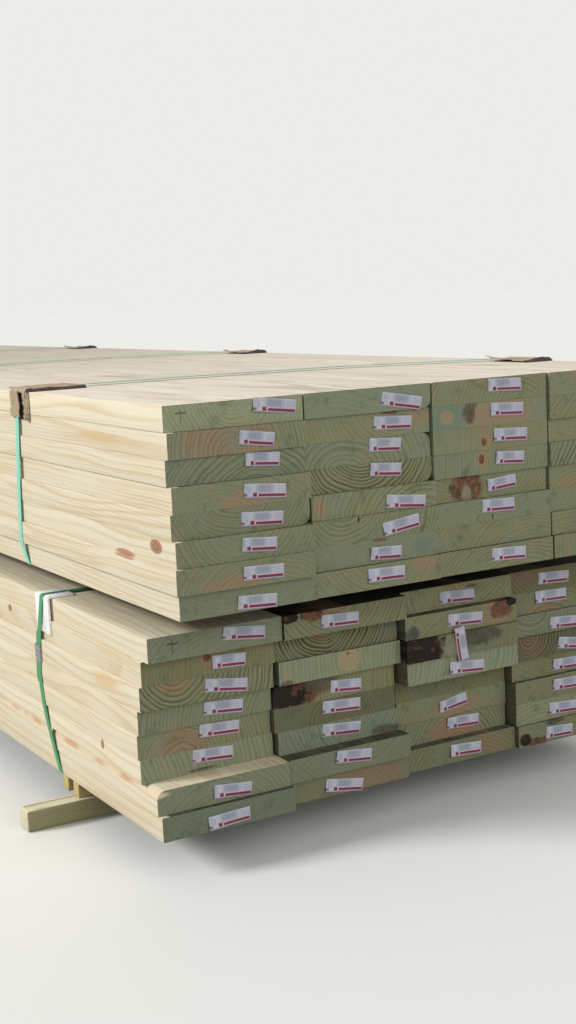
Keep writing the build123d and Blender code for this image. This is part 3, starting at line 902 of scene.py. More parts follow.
    # Saw marks and pores on the ends, grain and fibre on the faces, and sunken bark
    height = wood.node("ShaderNodeMix")
    wood.feed(height.inputs["Factor"], end)
    wood.feed(height.inputs["A"], wood.scaled(late, 0.3, wood.times(spread["fibre"], 0.4)))
    rough = wood.scaled(saw, 0.4, wood.times(spread["pores"], 0.3))
    wood.feed(height.inputs["B"], wood.scaled(late, 0.3, rough))
    bark = wood.fall(from_mark(wood, "bark", tear, 1.0), 0.7, 1.0)
    wood.relief(wood.scaled(bark, -2.0, height.outputs["Result"]), 0.4 * MM, 0.8)
    return wood.done(tone.outputs["Color"], wood.scaled(spread["blotch"], 0.15, 0.7), Specular_IOR_Level=0.2)


def from_mark(wood, kind, tear, ragged):
    """How far a point lies from the middle of a kind of mark, 1 at its torn rim."""
    pulled = wood.stretched(tear, ragged, ragged, ragged)
    return wood.vector("LENGTH", wood.vector("ADD", wood.read(kind), pulled))


def lay_marks(wood, settings, base, log, spread, tear, heart_wood):
    """Lays the knots, bark, rot and stains over the board wood."""
    rusty = spread["rusty"]
    rust = wood.blend(wood.rise(spread["grit"], 0.4, 0.7), settings.pocket, settings.pocket_pale)
    rust = wood.over(rust, (wood.fall(rusty, 0.35, 0.5), 0.7, settings.bark))
    black = wood.blend(wood.rise(rusty, 0.54, 0.7), settings.bark, settings.pocket)
    rot = wood.blend(wood.rise(rusty, 0.4, 0.75), settings.mauve, settings.bark)
    turn = wood.math("FRACT", wood.times(from_mark(wood, "knot", tear, 0.4), 2.6))
    end_knot = wood.blend(wood.within(turn, 0.5, 0.8, 0.3), settings.knot_pale, settings.heart)
    turn = wood.math("FRACT", wood.times(from_mark(wood, "side_knot", tear, 0.3), 1.8))
    side_knot = wood.over(settings.knot, (wood.within(turn, 0.5, 0.85, 0.3), 0.6, settings.knot_rim))
    spots = wood.scaled(spread["grit"], 0.4, wood.cells(wood.stretched(log, 0.4, 1.0, 0.4), 13))
    spotted = wood.over(settings.face_flush, (wood.fall(spots, 0.4, 0.75), 0.9, settings.spot))
    # Kind, how ragged its rim is, where it begins to fade and where it ends, its strength and its colour
    for kind, ragged, inner, outer, most, tint in (
        ("stain", 0.9, 0.7, 1.1, 0.72, heart_wood),
        ("smear", 0.7, 0.6, 1.2, 0.6, settings.smear),
        ("knot", 0.4, 0.8, 1.15, 0.75, end_knot),
        ("side_patch", 0.9, 0.5, 1.2, 0.7, settings.resin),
        ("side_streak", 0.9, 0.6, 1.0, 0.75, settings.knot),
        ("side_row", 0.25, 0.7, 1.0, 0.85, spotted),
        ("side_knot", 0.3, 0.75, 1.05, 0.85, side_knot),
        ("mauve", 1.0, 0.6, 1.0, 0.7, rot),
        ("pocket", 0.9, 0.7, 1.0, 0.85, rust),
        ("bark", 1.0, 0.75, 1.0, 0.97, black),
        ("scar", 1.2, 0.6, 1.0, 0.6, settings.scar),
    ):
        base = wood.over(base, (wood.fall(from_mark(wood, kind, tear, ragged), inner, outer), most, tint))
    return base


def lay_crayon(wood, settings, base, worn):
    """Lays the tally marks in dark crayon over the wood: a level stroke and a shorter one down from it."""
    arm, _, stem = wood.split(wood.read("cross"))
    beside_stem = wood.math("ABSOLUTE", arm)
    beside_arm = wood.math("ABSOLUTE", stem)
    level = wood.times(wood.fall(beside_arm, 0.08, 0.2), wood.fall(beside_stem, 0.8, 1.15))
    down = wood.times(wood.fall(beside_stem, 0.06, 0.18), wood.within(stem, -1.5, 0.5, 0.3))
    crayon = wood.math("MAXIMUM", wood.times(level, 0.75), wood.times(down, 0.5))
    return wood.over(base, (crayon, worn, settings.crayon))


def support_wood(name, pale, dark, front):
    """Plain sawn wood for the supports: its grain runs across the stack, and painted shade greys its front
    sides.
    """
    wood = Finish(name)
    place = wood.stretched(wood.place(), 0.05, 1.0, 1.0)
    late = wood.tooth(wood.math("FRACT", wood.times(wood.noise(place, 44), 9.0)), 0.4, 0.85, 0.88, 1.0)
    fibre = wood.noise(place, 700)
    dirt = wood.noise(wood.place(), 14, 4, 0.6)
    painted_shade_front = wood.rise(wood.times(wood.normal()[1], -1.0), 0.4, 0.8)
    base = wood.over(
        wood.blend(painted_shade_front, pale, front),
        (late, 0.3, dark),
        (wood.rise(dirt, 0.5, 0.8), 0.35, dark),
        (fibre, 0.18, dark),
    )
    wood.relief(wood.scaled(late, 0.4, fibre), 0.5 * MM, 0.7)
    return wood.done(base, wood.scaled(dirt, 0.2, 0.7))


def strap_plastic(name, tint, dust_and_shade, emboss):
    """Strap plastic pressed with small diamonds, scuffed paler here and there."""
    plastic = Finish(name)
    place = plastic.place()
    x, y, z = plastic.split(place)
    level = plastic.math("ADD", x, z)
    turns = 2 * math.pi / emboss
    rows = [
        plastic.math("SINE", plastic.times(plastic.math(operation, level, y), turns))
        for operation in ("ADD", "SUBTRACT")
    ]
    diamonds = plastic.times(*rows)
    scuff = plastic.rise(plastic.noise(place, 90, 4, 0.7), 0.45, 0.8)
    pale = tuple(0.45 + 0.55 * part for part in tint)
    deep = tuple(0.7 * part for part in tint)
    # Faces that do not face sideways, the upper sides and edges, take dust and painted shade
    lying = plastic.fall(plastic.math("ABSOLUTE", plastic.normal()[0]), 0.3, 0.7)
    base = plastic.over(
        tint,
        (scuff, 0.2, pale),
        (plastic.noise(place, 9), 0.25, deep),
        (plastic.rise(diamonds, 0.0, 0.8), 0.1, pale),
        (lying, 0.6, dust_and_shade),
    )
    plastic.relief(diamonds, 0.15 * MM, 0.6)
    return plastic.done(base, plastic.scaled(scuff, 0.3, 0.36))


def crimped_steel(settings):
    """Zinc-coated steel, spangled and scratched."""
    steel = Finish("clip_steel")
    scratch = steel.noise(steel.stretched(steel.place(), 1.0, 1.0, 0.1), 900)
    spangle = steel.split(steel.cells(steel.place(), 260, "Color"))[0]
    base = steel.over(settings.steel, (spangle, 0.4, settings.steel_dark))
    steel.relief(scratch, 0.1 * MM, 0.5)
    return steel.done(base, steel.scaled(scratch, 0.25, 0.38), Metallic=0.75)


def kraft_board(settings):
    """Crushed brown board with pale creases and damp patches, dark where the mesh stores painted shade."""
    kraft = Finish("brown_board")
    place = kraft.place()
    soaked = kraft.split(kraft.read("soaked"))[0]
    edges = kraft.cells(kraft.stretched(place, 1.3, 1.1, 1.2), 46, feature="DISTANCE_TO_EDGE")
    crease = kraft.fall(edges, 0.0, 0.07)
    patch = kraft.noise(place, 34, 3, 0.6)
    damp = kraft.rise(patch, 0.45, 0.7)
    fibre = kraft.noise(place, 1300, 3, 0.7)
    damp_and_painted_shade = kraft.rise(kraft.scaled(kraft.math("SUBTRACT", patch, 0.5), 1.2, soaked), 0.35, 0.65)
    base = kraft.over(
        settings.board,
        (damp, 0.6, settings.damp),
        (crease, 0.3, settings.crease),
        (fibre, 0.25, settings.fibre),
        (damp_and_painted_shade, 1.0, settings.soaked),
    )
    kraft.relief(kraft.scaled(crease, 0.8, kraft.times(fibre, 0.3)), 0.6 * MM, 0.7)
    return kraft.done(base, kraft.scaled(damp, -0.15, 0.85))


def white_plastic(settings):
    """White plastic, scuffed and dusty."""
    plastic = Finish("white_plastic")
    place = plastic.place()
    dust = plastic.rise(plastic.noise(place, 30, 4, 0.65), 0.42, 0.75)
    scuff = plastic.rise(plastic.noise(plastic.stretched(place, 1.0, 0.15, 1.0), 260, 3), 0.55, 0.75)
    base = plastic.over(
        settings.plastic, (dust, 0.35, settings.plastic_dust), (scuff, 0.3, settings.plastic_scuff)
    )
    plastic.relief(scuff, 0.15 * MM, 0.5)
    return plastic.done(base, plastic.scaled(dust, 0.25, 0.42))


def tag_film(settings):
    """Printed film with plain blocks and bars."""
    film = Finish("tag_film")
    across, up, _ = film.split(film.node("ShaderNodeUVMap", uv_map="UVMap").outputs["UV"])
    place = film.place()
    stripes = film.rise(film.noise(film.joined(across, film.times(up, 0.02)), 52, 0), 0.4, 0.6)
    base = film.blend(film.noise(place, 40, 3), settings.film, settings.film_dull)
    for left, right, low, high, soft, plain, striped, ink in PRINT:
        level = film.within(up, low, high, soft * TAG_SHAPE)
        block = film.times(film.within(across, left, right, soft), level)
        base = film.over(base, (block, film.scaled(stripes, striped, plain), getattr(settings, ink)))
    film.relief(film.noise(place, 160, 3), 0.3 * MM, 0.5)
    return film.done(base, film.scaled(film.noise(place, 60), 0.2, 0.38), Specular_IOR_Level=0.25)


# Pieces

# A board's mesh is cut into strips across it, and at these distances from its two ends, in metres
BOARD_STRIPS = 12
CUTS_FROM_NEAR_END = (0.004, 0.03, 0.12, 0.4, 0.9, 1.5, 2.1, 2.7, 3.3, 3.9)
CUTS_FROM_FAR_END = (0.1, 0.004)
WANE_SEGMENTS = 5
EDGE_SEGMENTS = 3
# How fine the saw's marks on a board's end are across it and up
SAW_WAVES = (60, 90)


def model_board(name, size, settings, wane):
    """A board with eased edges and perhaps one waned corner, its lower left near corner at the origin."""
    board = add_box(name, Vector((0, 0, 0)), size)

    if wane:
        corner, radius = wane

        def waned(edge):
            middle = (edge.verts[0].co + edge.verts[1].co) / 2
            at_right = (middle.x > size.x / 2) == corner.endswith("right")
            at_top = (middle.z > size.z / 2) == corner.startswith("top")
            return abs(middle.y - size.y / 2) < MM and at_right and at_top

        pick("edges", waned)
        round_edges(radius * MM, WANE_SEGMENTS)

    def square_corner(edge):
        points = [vertex.co for vertex in edge.verts]
        at_corner = all(min(p.x, size.x - p.x) < NEAR and min(p.z, size.z - p.z) < NEAR for p in points)
        return at_corner and abs(points[0].y - points[1].y) > MM

    pick("edges", square_corner)
    round_edges(settings.eased_edge, EDGE_SEGMENTS)
    cut(1, CUTS_FROM_NEAR_END)
    cut(1, [size.y - back for back in CUTS_FROM_FAR_END])
    cut_strips(0.0, size.x, BOARD_STRIPS)
    close_mesh()
    return board


def season(mesh, size, chance, settings):
    """Dries one board: it loses thickness, cups, and its sawn ends roughen a little."""
    points = points_of(mesh)
    spare = chance.uniform(settings.least_shrink, settings.most_shrink)
    cup = chance.uniform(-1, 1) * min(settings.cup, spare / 2)
    lift = chance.uniform(abs(cup), max(abs(cup), spare - abs(cup)))
    bow = chance.uniform(-1, 1) * settings.bow
    x_share = points[:, 0] / size.x * 2 - 1
    y_share = points[:, 1] / size.y * 2 - 1
    shift = chance.uniform(0, NOISE_SHIFT)
    points[:, 2] *= (size.z - spare) / size.z
    points[:, 2] += lift + cup * (0.5 - x_share**2)
    points[:, 0] += bow * (1 - y_share**2)
    for point in points:
        if point[1] < MM or point[1] > size.y - MM:
            place = Vector((point[0] * SAW_WAVES[0] + shift, point[2] * SAW_WAVES[1], shift))
            inward = 1 if point[1] < MM else -1
            point[1] += inward * (abs(noise.noise(place)) * settings.saw_depth)
    move_points(mesh, points)


def mark_board(mesh, bundle, layer, column, chance):
    """Stores on a board where its pith and its marks are, and how its rings look."""
    key = (bundle, layer, column)
    points = points_of(mesh)
    pith_across, pith_up, ring_width, contrast, olive = GRAIN[bundle][layer - 1][column - 1]
    log = points - np.array([pith_across * MM, 0.0, pith_up * MM])
    log[:, 1] += chance.uniform(*LOG_STARTS)
    write_vectors(mesh, "log", log)
    same = np.ones((len(points), 3))
    lightness = FIRST_LIGHTNESS[bundle]
    lightness -= LAYER_DARKENING[bundle] * (layer - 1) + COLUMN_DARKENING[bundle] * (column - 1)
    lightness *= TONES.get(key, chance.uniform(*OTHER_TONES))
    write_vectors(mesh, "look", same * (contrast, olive, lightness))
    under_spacers = (bundle, layer) == ("lower", 1) and column > 1
    over_spacers = (bundle, layer) == ("upper", LAYERS)
    shade = DEEP_SHADE if under_spacers or over_spacers else SHADES[bundle]
    heart = HEARTS[key] * MM if key in HEARTS else NO_HEART
    write_vectors(mesh, "growth", same * (ring_width * MM, heart, shade))
    top = HALF_OPEN.get(key, float(layer == 1 and (bundle == "upper" or column == 1)))
    opened = same * (float(column == 1), float(column == COLUMNS), top)
    if column == 1:
        opened[points[:, 0] < OPEN_EDGE, 2] = 1.0
    write_vectors(mesh, "open", opened)
    marks = {kind: np.full_like(points, FAR_AWAY) for kind in MARK_KINDS}

    def place_mark(kind, middle, reach):
        marks[kind] = (points - np.array(middle) * MM) / (np.array(reach) * MM)

    for kind, across, up, half_width, half_height in END_MARKS.get(key, ()):
        place_mark(kind, (across, 0.0, up), (half_width, MARK_DEPTHS[kind], half_height))
    for kind, back, up, half_length, half_height in SIDE_MARKS.get(key, ()):
        place_mark(kind, (0.0, back, up), (SIDE_MARK_DEPTH, half_length, half_height))
    for kind, values in marks.items():
        write_vectors(mesh, kind, values)


class LUMBER_OT_boards(Operator):
    """Dresses every board of both bundles."""

    bl_idname = "lumber.boards"
    bl_label = "Boards"

    def execute(self, context):
        settings = context.scene.lumber_boards
        material = treated_wood(settings)
        models = {}
        for bundle in BUNDLES:
            for layer in range(1, LAYERS + 1):
                node = f"{bundle}_layer_{layer}"
                for column, (low, high) in enumerate(solids_of(node), start=1):
                    size = high - low
                    wane = WANES.get((bundle, layer, column))
                    if wane not in models:
                        models[wane] = model_board("board_model", size, settings, wane)
                    board = copy_of(models[wane], f"{bundle}_board_{layer}_{column}")
                    chance = random.Random(f"{bundle} {layer} {column}")
                    mark_board(board.data, bundle, layer, column, chance)
                    season(board.data, size, chance, settings)
                    board.data.transform(Matrix.Translation(low))
                    smooth(board)
                    finish_piece(board, material, "treated_boards", node)
        for model in models.values():
            discard(model)
        return {"FINISHED"}


BAR_STRIPS = 10


def model_bar(name, low, high, radius):
    """One sawn bar across the stack, its edges and its ends eased."""
    bar = add_box(name, low, high)
    bpy.ops.mesh.select_all(action="SELECT")
    round_edges(radius, EDGE_SEGMENTS)
    cut_strips(low.x, high.x, BAR_STRIPS)
    close_mesh()
    return bar


def cut_groove(bar, low, high, settings):
    """Sinks the shallow groove along the top of a front timber."""
    middle = high.y - settings.groove_back
    sides = (middle - settings.groove_width / 2, middle + settings.groove_width / 2)
    inset = settings.eased_edge
    open_mesh(bar)
    cut(1, sides)

    def in_groove(face):
        centre = face.calc_center_median()
        inside = low.x + inset < centre.x < high.x - inset
        return inside and face.normal.z > FACING and sides[0] < centre.y < sides[1]

    pick("faces", in_groove)
    pull(0, -settings.groove_depth)
    close_mesh()


class LUMBER_OT_supports(Operator):
    """Models the spacers, sticks and ground timbers and gives them their wood."""

    bl_idname = "lumber.supports"
    bl_label = "Spacers, sticks and timbers"

    def execute(self, context):
        settings = context.scene.lumber_supports
        for node, slot, pale, front, radius in (
            ("bundle_spacers", "spacer_wood", settings.spacer, settings.spacer, settings.stick_edge),
            ("sticks", "stick_wood", settings.stick, settings.stick_shaded_front, settings.stick_edge),
            ("ground_timbers", "timber_wood", settings.timber, settings.timber_shaded_front, settings.eased_edge),
        ):
            wood = support_wood(slot, pale, settings.dark, front)
            boxes = solids_of(node)
            longest = max(high.x - low.x for low, high in boxes)
            for count, (low, high) in enumerate(boxes, start=1):
                bar = model_bar(f"{node}_{count}", low, high, radius)
                if node == "ground_timbers" and high.x - low.x > longest - MM:
                    cut_groove(bar, low, high, settings)
                smooth(bar)
                finish_piece(bar, wood, slot, node)
        return {"FINISHED"}


def give(node, material):
    """Puts a material on a CAD node's slots."""
    for slot in node.material_slots:
        slot.material = material


# Crimps of a clip: rows up its height and half a row's height as shares of it, and the share of its
# width that each reaches in from an edge
CRIMP_ROWS = (0.2, 0.5, 0.8)
CRIMP_HALF_ROW = 0.07
CRIMP_EDGE = 0.16


def model_clip(name, low, high, settings):
    """One steel clip, crimped in three rows at both of its edges."""
    spare = (high - low) * (1 - settings.clip_share) / 2
    low = low + Vector((0, spare.y, spare.z))
    high = high - Vector((0, spare.y, spare.z))
    middle = (low + high) / 2
    wide = high.y - low.y
    tall = high.z - low.z
    rows = [low.z + tall * share for share in CRIMP_ROWS]
    clip = add_box(name, low, high)
    cut(2, sorted(row + side * tall * CRIMP_HALF_ROW for row in rows for side in (-1, 0, 1)))
    cut(1, [low.y + wide * CRIMP_EDGE, high.y - wide * CRIMP_EDGE])

    def crimped(vertex):
        in_row = min(abs(vertex.co.z - row) for row in rows) < NEAR
        at_edge = abs(vertex.co.y - middle.y) > wide * (0.5 - CRIMP_EDGE) - NEAR
        return in_row and at_edge and vertex.co.x < middle.x

    pick("verts", crimped)
    bpy.ops.transform.translate(value=(settings.crimp, 0, 0))
    close_mesh()
    return clip


class LUMBER_OT_straps(Operator):
    """Gives the straps their pressed plastic and models the crimped clips."""

    bl_idname = "lumber.straps"
    bl_label = "Straps and clips"

    def execute(self, context):
        settings = context.scene.lumber_straps
        for bundle in BUNDLES:
            tint = getattr(settings, bundle)
            plastic = strap_plastic(f"{bundle}_band", tint, settings.dust_and_shade, settings.emboss)
            for station in range(1, STATIONS + 1):
                give(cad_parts[f"{bundle}_strap_{station}"], plastic)
        steel = crimped_steel(settings)
        for count, (low, high) in enumerate(solids_of("strap_clips"), start=1):
            clip = model_clip(f"strap_clip_{count}", low, high, settings)
            finish_piece(clip, steel, "clip_steel", "strap_clips")
        return {"FINISHED"}


# The brown board's solid wall, and how many faces its flat sheet has from edge to edge and along the boards
CARD_WALL = 3 * MM
CARD_FACES = (34, 20)
CARD_SMOOTH_ANGLE = 50
# How the sheet is crushed: the weight of a noise, its waves to a metre from edge to edge, and its waves
# along the whole sheet
CRUSH = ((1.0, 42, 5), (0.6, 90, 11))
TOP_CRUSH = 0.5
# Heights over the wood: lying on it, held out by the strap, on the right top, and over the strap
CARD_DOWN = 0.6 * MM
CARD_OUT = 5.0 * MM
CARD_RIGHT_TOP = 3.8 * MM
CARD_OVER_STRAP = 5.4 * MM
# Places along the sheet, as shares of it: half the strap's stretch, the near lip, and the tear's two sides
STRAP_STRETCH = 0.14
LIP = 0.05
TEAR = (0.13, 0.29)
# Rises of the sheet: over the corner, at the side leg's lower edge, and the right sheet's near fold and
# far flap, with their reaches and their places along the sheet
CORNER_RISE = 2.6 * MM
CORNER_REACH = 11 * MM
HEM_RISE = 2.5 * MM
FOLD_RISE = 6 * MM
FOLD_REACH = 26 * MM
FOLD_MIDDLE = 1.4
FOLD_LENGTH = 0.3
FLAP_RISE = 8 * MM
FLAP_START = 0.75
# Torn edges: how ragged and how wavy, the tear's lean and height, the trimmed hem, and each leg's far end
RAGGED = 0.04
RAGGED_WAVES = 30
TEAR_LEAN = 0.06
TEAR_HEIGHT = 0.95
HEM = 0.05
SIDE_END = 0.8
TOP_END = 0.97
INNER_LENGTH = 0.78
# How much painted shade the lip and the inner sheet get, the sheet beside the tear, how far that goes,
# and the rest
FULL_PAINTED_SHADE = 1.0
HALF_PAINTED_SHADE = 0.5
HALF_PAINTED_SHADE_REACH = 0.45
LEAST_PAINTED_SHADE = 0.1


def fold(points, long, top_leg, side_leg, bend, lift, mirrored):
    """Lays a flat unit grid over a bundle's top edge, lifted from the wood by a chosen amount.

    The grid's x runs from the side leg's lower edge to the top leg's end, and its y along the boards.
    """
    placed = np.zeros_like(points)
    for index, point in enumerate(points):
        run = (point[0] + 0.5) * (side_leg + top_leg)
        along = point[1] + 0.5
        out = lift(run, along)
        if run < side_leg - bend:
            x, z = -out, run - side_leg
        elif run > side_leg + bend:
            x, z = run - side_leg, out
        else:
            turn = (run - side_leg + bend) / (2 * bend) * math.pi / 2
            x = bend - (bend + out) * math.cos(turn)
            z = (bend + out) * math.sin(turn) - bend
        placed[index] = (-x if mirrored else x, along * long, z)
    return placed


def tear_sheet(side_share, seed):
    """Deletes what is torn off the open flat sheet, whose side leg takes a share of it."""

    def torn(face):
        centre = face.calc_center_median()
        run = centre.x + 0.5
        along = centre.y + 0.5
        ragged = RAGGED * noise.noise(Vector((run * RAGGED_WAVES, along * RAGGED_WAVES, seed)))
        shift = ragged + TEAR_LEAN * run / side_share
        in_tear = TEAR[0] + shift < along < TEAR[1] + shift and run < side_share * TEAR_HEIGHT
        in_hem = along > TEAR[1] and run < side_share * HEM
        end = SIDE_END if run < side_share else TOP_END
        return in_tear or in_hem or along > end + ragged * 2

    pick("faces", torn)
    bpy.ops.mesh.delete(type="FACE")


def model_card(name, low, high, mirrored, chance, settings):
    """One sheet of brown board crushed over the strap, its side leg torn, with a dark sheet inside as
    painted shade.
    """
    top_leg = high.x - low.x - CARD_WALL
    side_leg = high.z - low.z - CARD_WALL
    corner = np.array([high.x - CARD_WALL if mirrored else low.x + CARD_WALL, low.y, high.z - CARD_WALL])
    seed = chance.uniform(0, NOISE_SHIFT)

    def crushed(run, along):
        crush = 0.0
        for weight, waves, waves_along in CRUSH:
            crush += weight * noise.noise(Vector((run * waves, along * waves_along, seed)))
        if along < LIP:
            return CARD_DOWN + max(0, crush) * MM
        over_top = run > side_leg
        out = CARD_RIGHT_TOP if mirrored and over_top else CARD_OUT
        out += crush * settings.crumple * (TOP_CRUSH if over_top else 1.0)
        out += ramp(abs(run - side_leg), CORNER_REACH, 0) * CORNER_RISE
        if not over_top and along > TEAR[1]:
            out += (1 - run / side_leg) ** 2 * HEM_RISE
        if mirrored:
            from_fold = abs(run - side_leg * FOLD_MIDDLE)
            out += ramp(along, FOLD_LENGTH, 0) * ramp(from_fold, FOLD_REACH, 0) * FOLD_RISE
            out += ramp(along, FLAP_START, 1) * ramp(run - side_leg, top_leg / 2, top_leg) * FLAP_RISE
        least = CARD_OVER_STRAP if abs(along - 0.5) < STRAP_STRETCH else CARD_DOWN
        return max(out, least)

    def lying(run, along):
        return CARD_DOWN

    sheets = []
    for lift, inner in ((crushed, False), (lying, True)):
        deselect()
        bpy.ops.mesh.primitive_grid_add(x_subdivisions=CARD_FACES[0], y_subdivisions=CARD_FACES[1], size=1)
        piece = bpy.context.active_object
        if not inner:
            open_mesh(piece)
            tear_sheet(side_leg / (side_leg + top_leg), seed)
            close_mesh()
        flat = points_of(piece.data)
        if inner:
            flat[:, 1] = (flat[:, 1] + 0.5) * INNER_LENGTH - 0.5
        placed = fold(flat, high.y - low.y, top_leg, side_leg, settings.bend, lift, mirrored)
        along = flat[:, 1] + 0.5
        run = (flat[:, 0] + 0.5) * (side_leg + top_leg)
        # Painted shade under the lifted near lip, on the inner sheet and beside the tear
        on_lip = (along < LIP * 1.5) & (run > side_leg)
        beside_tear = (along < HALF_PAINTED_SHADE_REACH) & (run < side_leg)
        soaked = np.where(on_lip | inner, FULL_PAINTED_SHADE, np.where(beside_tear, HALF_PAINTED_SHADE, LEAST_PAINTED_SHADE))
        move_points(piece.data, placed + corner)
        write_vectors(piece.data, "soaked", np.repeat(soaked[:, None], 3, 1))
        sheets.append(piece)
    card = join(sheets, name)
    open_mesh(card)
    bpy.ops.mesh.select_all(action="SELECT")
    bpy.ops.mesh.normals_make_consistent(inside=False)
    close_mesh()
    thicken(card, settings.card)
    smooth(card, CARD_SMOOTH_ANGLE)
    return card


PLASTIC_WALL = 2.5 * MM
BEND_SEGMENTS = 5
# Least of a normal that counts as outward for the ribs, and most along the boards that it may have
RIB_OUTWARD = 0.05
RIB_ALONG = 0.1


def model_plastic(name, low, high, mirrored, settings):
    """One bent plastic protector with a rib on either side of its strap."""
    side = 1 if mirrored else -1
    outer = high.x if mirrored else low.x
    face = outer - side * PLASTIC_WALL
    middle = (low.y + high.y) / 2
    plastic = add_box(name, Vector((min(face, outer), *low.yz)), Vector((max(face, outer), *high.yz)))
    cut(1, [middle - settings.channel / 2, middle + settings.channel / 2])
    cut(2, [high.z - PLASTIC_WALL])

    def faces_bundle(patch):
        return patch.normal.x * side < -FACING and patch.calc_center_median().z > high.z - PLASTIC_WALL

    pick("faces", faces_bundle)
    pull((high.x - low.x - PLASTIC_WALL) * -side, 0)

    def outer_corner(edge):
        points = [vertex.co for vertex in edge.verts]
        return all(abs(p.x - outer) < NEAR and abs(p.z - high.z) < NEAR for p in points)

    pick("edges", outer_corner)
    round_edges(settings.bend, BEND_SEGMENTS)

    def on_rib(patch):
        outward = max(patch.normal.x * side, patch.normal.z) > RIB_OUTWARD
        beside_strap = abs(patch.calc_center_median().y - middle) > settings.channel / 2
        return outward and beside_strap and abs(patch.normal.y) < RIB_ALONG

    pick("faces", on_rib)
    bpy.ops.mesh.extrude_region_shrink_fatten(TRANSFORM_OT_shrink_fatten={"value": settings.rib})
    close_mesh()
    soften = plastic.modifiers.new("Edges", "BEVEL")
    soften.width = settings.plastic_edge
    soften.segments = 2
    soften.limit_method = "ANGLE"
    apply_modifiers(plastic)
    smooth(plastic)
    return plastic


class LUMBER_OT_protectors(Operator):
    """Models the crushed board and the bent plastic over the bundles' top edges."""

    bl_idname = "lumber.protectors"
    bl_label = "Corner protectors"

    def execute(self, context):
        settings = context.scene.lumber_straps
        kraft = kraft_board(settings)
        white = white_plastic(settings)
        for side in ("left", "right"):
            mirrored = side == "right"
            node = f"upper_{side}_protectors"
            for count, (low, high) in enumerate(solids_of(node), start=1):
                chance = random.Random(f"card {side} {count}")
                card = model_card(f"upper_{side}_card_{count}", low, high, mirrored, chance, settings)
                finish_piece(card, kraft, "brown_board", node)
            node = f"lower_{side}_protectors"
            for count, (low, high) in enumerate(solids_of(node), start=1):
                bent = model_plastic(f"lower_{side}_plastic_{count}", low, high, mirrored, settings)
                finish_piece(bent, white, "white_plastic", node)
        return {"FINISHED"}


# Faces of a tag across and up, and about how much wider than tall it is
TAG_FACES = (14, 6)
TAG_SHAPE = 3
# A tag's free corner: how far its lift grows to the side and up, and how much of the curl it may take
CURL_GROWTH = (0.8, 0.5)
CURL_SHARES = (0.4, 1.2)
RIPPLES = 9
RIPPLE_STARTS = (0, 6)
# Tags shorter than this, in millimetres, begin this far into their print, as a share of it
SHORT_TAG = 70
PRINT_START = 0.08


def model_tag():
    """One flat tag of film, 1 wide, its middle at the origin and its face to the front."""
    deselect()
    bpy.ops.mesh.primitive_grid_add(
        x_subdivisions=TAG_FACES[0], y_subdivisions=TAG_FACES[1], size=1, rotation=(math.pi / 2, 0, 0)
    )
    bpy.ops.object.transform_apply(location=True, rotation=True, scale=True)
    return bpy.context.active_object


def place_tag(tag, width, tilt, middle, chance, settings):
    """Sizes, curls and hangs one tag."""
    points = points_of(tag.data)
    to_side = points[:, 0] * 2 * chance.choice((-1, 1)) * CURL_GROWTH[0]
    upward = points[:, 2] * 2 * chance.choice((-1, 1)) * CURL_GROWTH[1]
    lift = np.clip(to_side + upward, 0, 1) ** 2
    ripple = np.sin(points[:, 0] * RIPPLES + chance.uniform(*RIPPLE_STARTS)) * settings.ripple
    points[:, 0] *= width * MM
    points[:, 2] *= settings.height
    points[:, 1] -= settings.stand_off + lift * settings.curl * chance.uniform(*CURL_SHARES) + ripple
    move_points(tag.data, points)
    if width < SHORT_TAG:
        for corner in tag.data.uv_layers.active.data:
            corner.uv.x = PRINT_START + (1 - PRINT_START) * corner.uv.x
    turn = Matrix.Rotation(math.radians(-tilt), 4, "Y")
    tag.data.transform(Matrix.Translation(middle) @ turn)


class LUMBER_OT_tags(Operator):
    """Hangs a printed tag on the near end of each board that has one."""

    bl_idname = "lumber.tags"
    bl_label = "End tags"

    def execute(self, context):
        settings = context.scene.lumber_tags
        material = tag_film(settings)
        model = model_tag()
        for bundle in BUNDLES:
            hung = []
            for column in range(1, COLUMNS + 1):
                for layer, row in enumerate(TAGS[bundle], start=1):
                    if row[column - 1] is None:
                        continue
                    across, up, tilt, width = row[column - 1]
                    low, _ = solids_of(f"{bundle}_layer_{layer}")[column - 1]
                    chance = random.Random(f"tag {bundle} {layer} {column}")
                    tag = copy_of(model, f"{bundle}_tag_{layer}_{column}")
                    place_tag(tag, width, tilt, low + Vector((across, 0, up)) * MM, chance, settings)
                    hung.append(tag)
            tags = join(hung, f"{bundle}_tags")
            thicken(tags, settings.thickness)
            bpy.ops.object.shade_smooth()
            finish_piece(tags, material, "white_plastic")
        discard(model)
        return {"FINISHED"}


# Faces along a side of the floor, what it throws back at the stack, and how far its specks darken it
FLOOR_FACES = 8
FLOOR_BOUNCE = (0.35, 0.35, 0.34)
FLOOR_SPECK = 0.9


